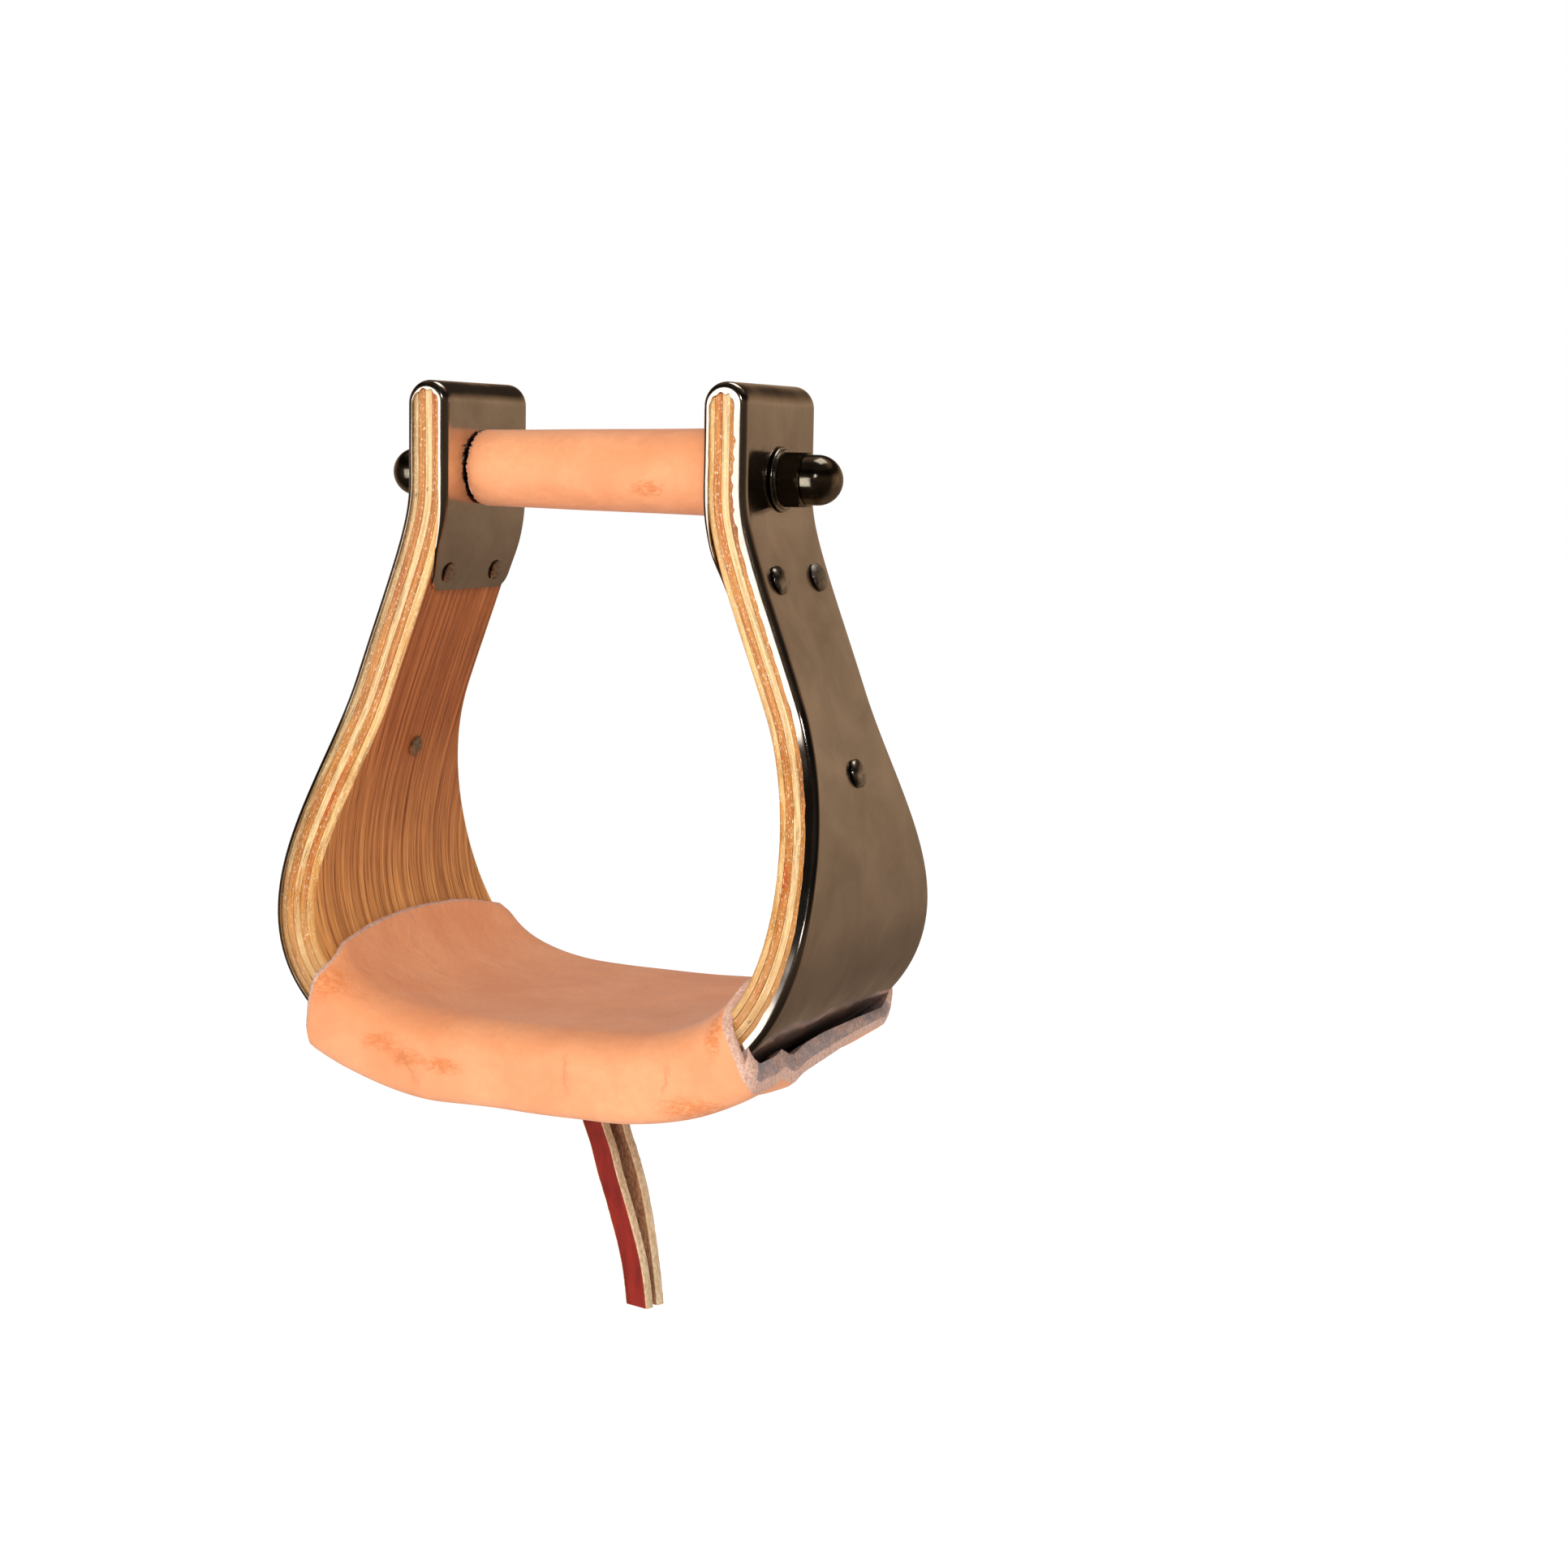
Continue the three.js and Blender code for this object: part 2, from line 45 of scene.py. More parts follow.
BOW_POINTS = [
    (0, -151.8), (33.8, -152), (60.5, -138.5), (70.5, -113.9), (64, -79.5),
    (50.2, -43.3), (38.9, -13.3), (39.2, 1.2), (39.2, 18.7), (39.2, 36.2),
]
BOW_END = 8
PLY_COUNT = 5
GLUE_LINE = 0.1
WOOD = 10.6
PLY = (WOOD - GLUE_LINE * (PLY_COUNT - 1)) / PLY_COUNT
NECK_HALF_DEPTH = 21.6
TREAD_HALF_DEPTH = 47
FLARE_TOP = 60
FLARE_BOTTOM = 133
STEEL = 0.8
FIT = 0.12
SKIN = FIT + STEEL
TONGUE_END = -32
ROLLER_Y = -3.2
ROLLER_Z = 1.5
ROLLER_END = 37.78
BINDING_FACE = 50.72
LEATHER = 3
LEATHER_GAP = 0.3
COVER_HALF = 51.22
COVER_BASE = -167.1
LACE_HALF_RUN = 52
LACE_HALF_SPREAD = 11
LACE_CROSSINGS = 9
TAIL_WIDTH = 8
TAIL_THICKNESS = 2.8
TAIL_TURN = math.radians(-14.8)

FRONT_TAIL = [
    (-2.6, -3, -169), (-2.4, -3, -173.5), (-1.7, -3, -177.5), (-0.2, -3, -181.5), (1.4, -3, -185.5),
    (2.6, -3, -189.5), (3.8, -3, -193.5), (5.2, -3, -197.5), (6.6, -3, -201.5), (7.9, -3, -205.5),
    (9.2, -3, -209.5), (10.4, -3, -213.5), (11.4, -3, -217.5), (12.2, -3, -221.5), (12.8, -3, -225.5),
    (13.3, -3, -230),
]
BACK_TAIL = [
    (1.6, 1.4, -169), (1.9, 1.4, -173.5), (2.5, 1.4, -177.5), (3.5, 1.4, -181.5), (5, 1.4, -185.5),
    (6.5, 1.4, -189.5), (7.8, 1.4, -193.5), (9, 1.4, -197.5), (9.9, 1.4, -201.5), (10.8, 1.4, -205.5),
    (11.5, 1.4, -209.5), (12.2, 1.4, -213.5), (12.8, 1.4, -217.5), (13.4, 1.4, -221.5), (13.9, 1.4, -225.5),
    (14.4, 1.4, -230),
]


def lerp(a, b, share):
    return a + (b - a) * share


def smooth(value, start, end):
    share = min(max((value - start) / (end - start), 0), 1)
    return share * share * (3 - 2 * share)


def wobble(x, y, z, seed=0):
    """Smooth noise between about -1 and 1."""
    return noise.noise(Vector((x + 17.3 * seed, y - 5.1 * seed, z + 3.7 * seed)))


def control_point(i):
    x, z = BOW_POINTS[abs(i)]
    return (math.copysign(x, i) if i else 0.0), z


def bow(t):
    """Point and outward normal (x, z, nx, nz) on the inner wood face at a spline parameter."""
    span = min(math.floor(t), BOW_END - 1)
    f = t - span
    g = 1 - f
    weights = (g**3, 3 * f**3 - 6 * f**2 + 4, 3 * g**3 - 6 * g**2 + 4, f**3)
    slopes = (-3 * g * g, 9 * f * f - 12 * f, -9 * g * g + 12 * g, 3 * f * f)
    x = z = dx = dz = 0.0
    for k in range(4):
        cx, cz = control_point(span - 1 + k)
        x += weights[k] * cx / 6
        z += weights[k] * cz / 6
        dx += slopes[k] * cx / 6
        dz += slopes[k] * cz / 6
    length = math.hypot(dx, dz)
    return x, z, dz / length, -dx / length


def half_depth(z):
    return lerp(NECK_HALF_DEPTH, TREAD_HALF_DEPTH, smooth(-z, FLARE_TOP, FLARE_BOTTOM))


def parameter_at_height(z):
    low, high = 3.0, float(BOW_END)
    for _ in range(40):
        middle = (low + high) / 2
        if bow(middle)[1] < z:
            low = middle
        else:
            high = middle
    return (low + high) / 2


# ---- camera ----------------------------------------------------------------------------------------


def make_camera():
    yaw, pitch, roll = (math.radians(angle) for angle in (23.86, 6.89, 1.06))
    level_right = Vector((math.cos(yaw), math.sin(yaw), 0))
    forward = Vector((-math.sin(yaw) * math.cos(pitch), math.cos(yaw) * math.cos(pitch), -math.sin(pitch)))
    level_up = level_right.cross(forward)
    right = math.cos(roll) * level_right + math.sin(roll) * level_up
    up = -math.sin(roll) * level_right + math.cos(roll) * level_up
    data = bpy.data.cameras.new("camera")
    data.sensor_width = 36
    data.lens = 61.61
    camera = bpy.data.objects.new("camera", data)
    matrix = Matrix((right, up, -forward)).transposed().to_4x4()
    matrix.translation = Vector((0.3417, -0.6524, 0.0052))
    camera.matrix_world = matrix
    bpy.context.scene.collection.objects.link(camera)
    bpy.context.scene.camera = camera


# ---- node materials --------------------------------------------------------------------------------


class Nodes:
    """A node tree whose nodes are added one call at a time."""

    def __init__(self, tree):
        self.tree = tree

    def add(self, kind, inputs=(), **settings):
        node = self.tree.nodes.new(kind)
        for key, value in settings.items():
            setattr(node, key, value)
        for key, value in dict(inputs).items():
            self.put(node.inputs[key], value)
        return node

    def put(self, socket, value):
        if isinstance(value, bpy.types.NodeSocket):
            self.tree.links.new(value, socket)
        elif isinstance(value, tuple) and len(value) == 3 and socket.type == "RGBA":
            socket.default_value = (*value, 1)
        else:
            socket.default_value = value

    def place(self):
        """Where a point is, in millimetres."""
        source = self.add("ShaderNodeTexCoord").outputs["Object"]
        return self.stretch(source, (1000, 1000, 1000))

    def grain(self):
        """Millimetres along the bow, across it and through it, from the mesh."""
        return self.add("ShaderNodeAttribute", attribute_name="grain").outputs["Vector"]

    def stretch(self, vector, scale):
        return self.add("ShaderNodeVectorMath", {0: vector, 1: scale}, operation="MULTIPLY").outputs[0]

    def noise(self, vector, scale, detail=4.0, roughness=0.55, distortion=0.0):
        inputs = {"Vector": vector, "Scale": scale, "Detail": detail, "Roughness": roughness}
        node = self.add("ShaderNodeTexNoise", inputs)
        node.inputs["Distortion"].default_value = distortion
        return node.outputs["Fac"]

    def levels(self, value, low, high, to_low=0.0, to_high=1.0):
        inputs = {"Value": value, "From Min": low, "From Max": high, "To Min": to_low, "To Max": to_high}
        return self.add("ShaderNodeMapRange", inputs).outputs["Result"]

    def maths(self, operation, a, b=0.0):
        return self.add("ShaderNodeMath", {0: a, 1: b}, operation=operation).outputs[0]

    def mix(self, share, a, b, blend="MIX"):
        node = self.add("ShaderNodeMix", data_type="RGBA", blend_type=blend)
        self.put(node.inputs[0], share)
        self.put(node.inputs[6], a)
        self.put(node.inputs[7], b)
        return node.outputs[2]

    def part(self, vector, axis):
        return self.add("ShaderNodeSeparateXYZ", {0: vector}).outputs[axis]

    def near(self, vector, centre, reach):
        """1 at a centre, 0 at the given reach (x, y, z) from it."""
        offset = self.add("ShaderNodeVectorMath", {0: vector, 1: centre}, operation="SUBTRACT").outputs[0]
        scaled = self.stretch(offset, tuple(1 / r for r in reach))
        length = self.add("ShaderNodeVectorMath", {0: scaled}, operation="LENGTH").outputs["Value"]
        return self.levels(length, 1, 0)


class Surface(Nodes):
    """A material on the Principled shader."""

    def __init__(self, name, roughness=0.5, metallic=0.0):
        self.material = bpy.data.materials.new(name)
        self.material.use_nodes = True
        super().__init__(self.material.node_tree)
        self.shader = self.tree.nodes["Principled BSDF"]
        self.shader.inputs["Roughness"].default_value = roughness
        self.shader.inputs["Metallic"].default_value = metallic

    def bump(self, height, depth, before=None):
        """A bump of that depth in millimetres where the height goes from 0 to 1."""
        inputs = {"Height": height, "Distance": depth * MM, "Strength": 1.0}
        node = self.add("ShaderNodeBump", inputs)
        if before:
            self.put(node.inputs["Normal"], before)
        self.put(self.shader.inputs["Normal"], node.outputs[0])
        return node.outputs[0]

    def finish(self, colour, roughness=None):
        self.put(self.shader.inputs["Base Color"], colour)
        if roughness is not None:
            self.put(self.shader.inputs["Roughness"], roughness)
        return self.material


def oak_face():
    """The oak veneer inside the bow: long dark pores and streaks along the bend, paler near the tread."""
    s = Surface("oak_face")
    grain = s.grain()
    height = s.part(s.place(), 2)
    streak = s.noise(s.stretch(grain, (0.009, 0.62, 0.2)), 1.0, 5, 0.62, 0.25)
    fine = s.noise(s.stretch(grain, (0.05, 2.6, 0.5)), 1.0, 5, 0.7)
    pores = s.noise(s.stretch(grain, (0.045, 2.1, 0.5)), 1.0, 3, 0.6)
    low = s.levels(height, -70, -118)
    dark = s.mix(low, (0.25, 0.06, 0.014), (0.34, 0.11, 0.028))
    light = s.mix(low, (0.62, 0.205, 0.05), (0.92, 0.43, 0.13))
    base = s.mix(s.levels(streak, 0.34, 0.64), dark, light)
    shaded = s.mix(s.levels(fine, 0.35, 0.7, 0, 0.55), base, dark)
    pore = s.levels(pores, 0.56, 0.66)
    colour = s.mix(s.maths("MULTIPLY", pore, 0.75), shaded, (0.11, 0.034, 0.013))
    s.shader.inputs["Specular IOR Level"].default_value = 0.3
    s.bump(s.maths("SUBTRACT", fine, pore), 0.09)
    return s.finish(colour, s.levels(fine, 0.3, 0.7, 0.34, 0.5))


def ply_edge(name, pale, deep, deep_amount, seed):
    """A ply's sawn and varnished edge, with grain lines along it, deeper stretches and bright flecks painted
    as highlights, glints off the end grain.
    """
    s = Surface(name)
    grain = s.add("ShaderNodeVectorMath", {0: s.grain(), 1: (61.0 * seed, 0, 7.0 * seed)}).outputs[0]
    lines = s.noise(s.stretch(grain, (0.05, 0.3, 1.9)), 1.0, 6, 0.65)
    stretches = s.noise(s.stretch(grain, (0.028, 0.1, 0.22)), 1.0, 3, 0.5)
    cells = s.noise(s.stretch(grain, (1.1, 1.1, 2.6)), 1.0, 3, 0.6)
    spots = s.noise(s.stretch(grain, (0.22, 0.2, 0.5)), 1.0, 2, 0.5)
    blotch = s.noise(s.place(), 0.16, 4, 0.6)
    low = s.levels(s.part(s.place(), 2), -105, -140)
    share = s.levels(stretches, 0.62 - 0.3 * deep_amount, 0.72 - 0.24 * deep_amount)
    base = s.mix(share, pale, deep)
    lined = s.mix(s.levels(lines, 0.42, 0.66, 0, 0.7), base, tuple(0.42 * c for c in deep))
    # painted highlight: pale flecks stand in for glints off the end grain.
    with_painted_glints = s.mix(s.levels(cells, 0.56, 0.7, 0, 0.7), lined, (0.92, 0.76, 0.5))
    # Below z -105 the edges turn browner in blotches.
    low_blotch = s.maths("MULTIPLY", low, s.levels(blotch, 0.3, 0.55, 0.15, 0.85))
    browned_low = s.mix(low_blotch, with_painted_glints, (0.46, 0.23, 0.07))
    colour = s.mix(s.levels(spots, 0.7, 0.78, 0, 0.7), browned_low, (0.11, 0.045, 0.016))
    s.bump(s.maths("ADD", cells, lines), 0.12)
    s.shader.inputs["Coat Weight"].default_value = 0.12
    s.shader.inputs["Coat Roughness"].default_value = 0.25
    return s.finish(colour, s.levels(cells, 0.3, 0.7, 0.32, 0.62))


def packing_wood():
    s = Surface("packing_wood", 0.6)
    grain = s.noise(s.stretch(s.place(), (0.02, 0.5, 0.8)), 1.0, 5, 0.6)
    s.bump(grain, 0.1)
    return s.finish(s.mix(s.levels(grain, 0.35, 0.65), (0.42, 0.25, 0.1), (0.66, 0.45, 0.22)))


def polished_steel():
    """Buffed stainless sheet: nearly a mirror, slightly wavy, with hazy smudges and fine wiping marks."""
    s = Surface("polished_steel", metallic=1.0)
    grain = s.grain()
    place = s.place()
    waves = s.noise(place, 0.035, 2, 0.4)
    smudge = s.noise(place, 0.05, 5, 0.6, 0.6)
    wiping = s.noise(s.stretch(grain, (0.35, 5.0, 1.0)), 1.0, 3, 0.6)
    specks = s.noise(place, 1.1, 2, 0.5)
    first = s.bump(waves, 1.1)
    s.bump(s.maths("ADD", wiping, specks), 0.004, first)
    tint = s.mix(s.levels(smudge, 0.35, 0.7), (0.66, 0.58, 0.5), (0.5, 0.43, 0.36))
    tint = s.mix(s.levels(specks, 0.74, 0.8, 0, 0.5), tint, (0.2, 0.16, 0.12))
    return s.finish(tint, s.levels(smudge, 0.3, 0.7, 0.1, 0.22))


def fastener_steel(name, roughness, depth):
    s = Surface(name, metallic=1.0)
    place = s.place()
    hammered = s.noise(place, 0.9, 3, 0.6)
    fine = s.noise(place, 3.5, 4, 0.6)
    s.bump(s.maths("ADD", hammered, s.maths("MULTIPLY", fine, 0.4)), depth)
    tint = s.mix(s.levels(hammered, 0.35, 0.7), (0.62, 0.57, 0.5), (0.34, 0.3, 0.25))
    return s.finish(tint, s.levels(fine, 0.3, 0.7, roughness * 0.7, roughness * 1.4))


def dark_nickel():
    s = Surface("dark_nickel", metallic=1.0)
    place = s.place()
    cloud = s.noise(place, 0.3, 4, 0.6)
    fine = s.noise(place, 4.0, 3, 0.6)
    s.bump(fine, 0.012)
    tint = s.mix(s.levels(cloud, 0.35, 0.7), (0.2, 0.17, 0.13), (0.34, 0.29, 0.22))
    return s.finish(tint, s.levels(fine, 0.3, 0.7, 0.1, 0.2))


STAINS = [
    # Centre and reach, (x, y, z): handling marks on the front of the cover.
    ((-41, -51, -151.5), (8, 9, 4)),
    ((-33, -51, -155), (7, 9, 3.5)),
    ((-22, -51, -156), (9, 9, 3)),
    ((4, -49, -144.5), (5, 6, 1.6)),
    ((26, -49, -143), (3, 5, 1.2)),
    ((-60, -48, -138), (9, 9, 7)),
    ((52, -51, -160), (14, 12, 5)),
    ((57, -51, -139), (3.5, 9, 9)),
]
CREASES = [
    # Middle of a crease, its half length down and its lean in x for each millimetre of that.
    ((-32, -51, -158), 6, -0.6),
    ((-35, -51, -155), 4, 0.3),
    ((15, -51, -154), 7, -0.08),
    ((44, -51, -152), 6, 0.15),
]


def leather_tone(s, place, stains):
    """Peach vegetable-tanned colour: cloudy, mottled, with the given darker rubbed patches."""
    cloud = s.noise(place, 0.045, 4, 0.6, 0.5)
    mottle = s.noise(place, 0.5, 5, 0.65)
    colour = s.mix(s.levels(cloud, 0.32, 0.7), (0.79, 0.335, 0.15), (0.7, 0.255, 0.1))
    colour = s.mix(s.levels(mottle, 0.38, 0.68, 0, 0.3), colour, (0.66, 0.235, 0.1))
    rub = s.levels(s.noise(s.stretch(place, (0.5, 0.5, 1.3)), 1.0, 6, 0.75), 0.38, 0.62)
    for centre, reach in stains:
        patch = s.maths("MULTIPLY", s.near(place, centre, reach), rub)
        colour = s.mix(s.levels(patch, 0.05, 0.45, 0, 0.85), colour, (0.6, 0.17, 0.04))
    return colour


def skirting_leather(name, stains=(), creases=()):
    """Smooth russet skirting leather with fine pores, soft wrinkles, rubbed marks and painted shade along its
    creases.
    """
    s = Surface(name)
    place = s.place()
    colour = leather_tone(s, place, stains)
    pores = s.add("ShaderNodeTexVoronoi", {"Vector": place, "Scale": 1.7}).outputs["Distance"]
    fine = s.noise(place, 2.6, 4, 0.65)
    soft = s.noise(place, 0.14, 3, 0.5, 0.8)
    first = s.bump(s.maths("ADD", pores, s.maths("MULTIPLY", fine, 1.2)), 0.05)
    last = s.bump(soft, 0.55, first)
    for centre, half, lean in creases:
        height = s.maths("SUBTRACT", s.part(place, 2), centre[2])
        ragged = s.noise(place, 0.6, 3, 0.6)
        axis = s.maths("ADD", s.maths("MULTIPLY", height, lean), centre[0])
        axis = s.maths("ADD", axis, s.levels(ragged, 0.2, 0.8, -1.2, 1.2))
        across = s.maths("ABSOLUTE", s.maths("SUBTRACT", s.part(place, 0), axis))
        line = s.levels(across, 0.9, 0.0)
        along = s.levels(s.maths("ABSOLUTE", height), half, half * 0.4)
        crease_and_painted_shade = s.maths("MULTIPLY", line, along)
        last = s.bump(s.maths("SUBTRACT", 1.0, crease_and_painted_shade), 0.16, last)
        # painted shade: the crease line is darkened in colour as well as bumped.
        colour = s.mix(s.maths("MULTIPLY", crease_and_painted_shade, 0.4), colour, (0.56, 0.17, 0.06))
    s.shader.inputs["Sheen Weight"].default_value = 0.12
    s.shader.inputs["Sheen Roughness"].default_value = 0.5
    return s.finish(colour, s.levels(fine, 0.3, 0.7, 0.5, 0.68))


def leather_cut():
    """The fibrous cut edge of the skirting leather."""
    s = Surface("leather_cut", 0.85)
    place = s.place()
    fibre = s.noise(place, 1.3, 6, 0.75)
    cloud = s.noise(place, 0.2, 3, 0.6)
    colour = s.mix(s.levels(fibre, 0.36, 0.64), (0.5, 0.25, 0.17), (0.86, 0.6, 0.48))
    colour = s.mix(s.levels(cloud, 0.4, 0.7, 0, 0.4), colour, (0.6, 0.3, 0.2))
    s.bump(fibre, 0.5)
    return s.finish(colour)


def leather_flesh():
    """The suede side of the skirting leather, greyed by handling."""
    s = Surface("leather_flesh", 0.9)
    place = s.place()
    fibre = s.noise(place, 1.0, 6, 0.75)
    cloud = s.noise(place, 0.12, 4, 0.6)
    colour = s.mix(s.levels(fibre, 0.36, 0.64), (0.26, 0.16, 0.13), (0.62, 0.39, 0.3))
    colour = s.mix(s.levels(cloud, 0.42, 0.66, 0, 0.75), colour, (0.2, 0.19, 0.21))
    s.bump(fibre, 0.5)
    return s.finish(colour)


def latigo_grain():
    """Burgundy latigo, smooth and waxed, with small creases."""
    s = Surface("latigo_grain")
    place = s.place()
    cloud = s.noise(s.stretch(place, (0.3, 0.3, 0.08)), 1.0, 4, 0.6)
    creases = s.noise(s.stretch(place, (0.9, 0.9, 0.5)), 1.0, 5, 0.7)
    colour = s.mix(s.levels(cloud, 0.35, 0.65), (0.27, 0.017, 0.009), (0.17, 0.011, 0.007))
    colour = s.mix(s.levels(creases, 0.6, 0.75, 0, 0.6), colour, (0.34, 0.035, 0.018))
    s.shader.inputs["Specular IOR Level"].default_value = 0.25
    s.bump(creases, 0.1)
    return s.finish(colour, s.levels(creases, 0.3, 0.7, 0.36, 0.52))


def latigo_raw(name, pale, dark):
    """Raw fibres of the lace, on its flesh side or its cut edge."""
    s = Surface(name, 0.9)
    place = s.place()
    fibre = s.noise(s.stretch(place, (1.3, 1.3, 0.7)), 1.0, 6, 0.8)
    cloud = s.noise(s.stretch(place, (0.4, 0.4, 0.12)), 1.0, 3, 0.6)
    colour = s.mix(s.levels(fibre, 0.36, 0.64), dark, pale)
    colour = s.mix(s.levels(cloud, 0.42, 0.7, 0, 0.55), colour, dark)
    s.bump(fibre, 0.4)
    return s.finish(colour)


def make_materials():
    pale = (0.78, 0.47, 0.19)
    orange = (0.56, 0.22, 0.045)
    red_orange = (0.5, 0.1, 0.015)
    return {
        "oak_face": oak_face(),
        "edge_1": ply_edge("edge_inner", pale, (0.62, 0.27, 0.06), 0.4, 1),
        "edge_2": ply_edge("edge_orange", orange, red_orange, 0.35, 2),
        "edge_3": ply_edge("edge_pale", (0.8, 0.53, 0.25), orange, 0.25, 3),
        "edge_4": ply_edge("edge_brown", orange, (0.42, 0.13, 0.03), 0.5, 4),
        "edge_5": ply_edge("edge_outer", (0.6, 0.39, 0.18), (0.42, 0.2, 0.07), 0.5, 5),
        "packing": packing_wood(),
        "steel": polished_steel(),
        "rivet": fastener_steel("rivet_steel", 0.22, 0.05),
        "rivet_rough": fastener_steel("rivet_rough", 0.4, 0.3),
        "nickel": dark_nickel(),
        "cover": skirting_leather("cover_leather", STAINS, CREASES),
        "sleeve": skirting_leather("sleeve_leather", [((18, -13, -3), (7, 8, 3))]),
        "cut": leather_cut(),
        "flesh": leather_flesh(),
        "latigo": latigo_grain(),
        "latigo_flesh": latigo_raw("latigo_flesh", (0.5, 0.25, 0.12), (0.15, 0.05, 0.02)),
        "latigo_cut": latigo_raw("latigo_cut", (0.82, 0.68, 0.46), (0.45, 0.27, 0.13)),
    }


# ---- meshes ----------------------------------------------------------------------------------------


def loft(rings, closed=True):
    """The points of the rings in one list, and the quads between each ring and the next."""
    count = len(rings[0])
    spans = count if closed else count - 1
    points = [point for ring in rings for point in ring]
    faces = []
    for i in range(len(rings) - 1):
        for j in range(spans):
            a = i * count + j
            b = i * count + (j + 1) % count
            faces.append((a, b, b + count, a + count))
    return points, faces


def ring_loft(rings):
    """A loft whose last ring joins its first again."""
    points, faces = loft(rings + [rings[0]])
    total = len(rings) * len(rings[0])
    return points[:total], [tuple(v % total for v in face) for face in faces]


def end_caps(rings):
    """The two faces that close a loft of closed rings."""
    count = len(rings[0])
    last = (len(rings) - 1) * count
    return [tuple(range(count)), tuple(last + j for j in range(count))]


def make_piece(name, points, faces, materials, body="root", stands_for=(), slot=None, crease=35, **more):
    """A mesh piece from millimetre points. materials is a list, and more may hold face_materials, a
    list of indices into it, and grain, a vector for each point."""
    mesh = bpy.data.meshes.new(name)
    mesh.from_pydata([(x * MM, y * MM, z * MM) for x, y, z in points], [], faces)
    for material in materials:
        mesh.materials.append(material)
    if "face_materials" in more:
        mesh.polygons.foreach_set("material_index", more["face_materials"])
    if "grain" in more:
        attribute = mesh.attributes.new("grain", "FLOAT_VECTOR", "POINT")
        attribute.data.foreach_set("vector", [value for vector in more["grain"] for value in vector])
    tidy = bmesh.new()
    tidy.from_mesh(mesh)
    bmesh.ops.recalc_face_normals(tidy, faces=tidy.faces)
    tidy.to_mesh(mesh)
    tidy.free()
    mesh.shade_smooth()
    mesh.set_sharp_from_angle(angle=math.radians(crease))
    piece = bpy.data.objects.new(f"{name}_detail", mesh)
    bpy.context.scene.collection.objects.link(piece)
    if stands_for:
        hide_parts(*stands_for)
    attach(piece, body)
    return piece


def turned_rings(profile, segments, rough=None):
    """Rings about +X from a profile of (radius, x) pairs. rough(radius, x, angle) may change a pair."""
    rings = []
    for radius, x in profile:
        ring = []
        for k in range(segments):
            angle = 2 * math.pi * k / segments
            r, at = rough(radius, x, angle) if rough else (radius, x)
            ring.append((at, r * math.cos(angle), r * math.sin(angle)))
        rings.append(ring)
    return rings


def arc(centre, radius, start, end, steps):
    """Points on an arc, angles in degrees, both ends included."""
    points = []
    for k in range(steps + 1):
        angle = math.radians(lerp(start, end, k / steps))
        points.append((centre[0] + radius * math.cos(angle), centre[1] + radius * math.sin(angle)))
    return points


# ---- lace tails ------------------------------------------------------------------------------------


def smooth_path(points, per_span):
    """A Catmull-Rom line through the points."""
    vectors = [Vector(point) for point in points]
    ends = [2 * vectors[0] - vectors[1], *vectors, 2 * vectors[-1] - vectors[-2]]
    path = []
    for i in range(1, len(ends) - 2):
        a, b, c, d = ends[i - 1 : i + 3]
        for k in range(per_span):
            t = k / per_span
            cubic = (3 * b - a - 3 * c + d) * t**3
            path.append(0.5 * (2 * b + (c - a) * t + (2 * a - 5 * b + 4 * c - d) * t**2 + cubic))
    path.append(vectors[-1])
    return path


def strap_section(half_width, half_thickness, across_steps, through_steps):
    """(across, through) round a flat strap with small round corners, from its front left corner."""
    corner = 0.45
    bevel = 0.13
    wide = half_width - corner
    thick = half_thickness - corner
    half = [(lerp(-wide, wide, k / across_steps), -half_thickness) for k in range(across_steps + 1)]
    half.append((half_width - bevel, -half_thickness + bevel))
    half += [(half_width, lerp(-thick, thick, k / through_steps)) for k in range(through_steps + 1)]
    half.append((half_width - bevel, half_thickness - bevel))
    return half + [(-across, -through) for across, through in half]


def make_tail(name, points, front, back, edge, seed):
    across_steps, through_steps = 8, 4
    section = strap_section(TAIL_WIDTH / 2, TAIL_THICKNESS / 2, across_steps, through_steps)
    path = smooth_path(points, 6)
    rings = []
    for centre in path:
        ring = []
        for across, through in section:
            fray = 0.16 * wobble(across * 0.5, centre.z * 0.9, through, seed)
            fray += 0.1 * wobble(across * 2, centre.z * 2.3, through * 2, seed + 1)
            edge_share = smooth(abs(across), 3.2, 4)
            a = across + math.copysign(1.4 * fray * edge_share, across)
            b = through * (1 + 0.05 * fray)
            ring.append((
                centre.x + a * math.cos(TAIL_TURN) - b * math.sin(TAIL_TURN),
                centre.y + a * math.sin(TAIL_TURN) + b * math.cos(TAIL_TURN),
                centre.z,
            ))
        rings.append(ring)
    vertices, faces = loft(rings)
    one_ring = []
    for j in range(len(section)):
        if j < across_steps:
            one_ring.append(0)
        elif across_steps + through_steps + 3 <= j < 2 * across_steps + through_steps + 3:
            one_ring.append(1)
        else:
            one_ring.append(2)
    indices = one_ring * (len(rings) - 1) + [2, 2]
    tail = make_piece(
        name, vertices, faces + end_caps(rings), [front, back, edge], stands_for=[name],
        slot="latigo", face_materials=indices,
    )


# ---- wood ------------------------------------------------------------------------------------------

STATIONS = 14
FACE_STEPS = 14
CORNER_STEPS = 4
EDGE_STEPS = 3


def top_rise(depth):
    radius = WOOD / 2
    return math.sqrt(max(radius**2 - (depth - radius) ** 2, 0))


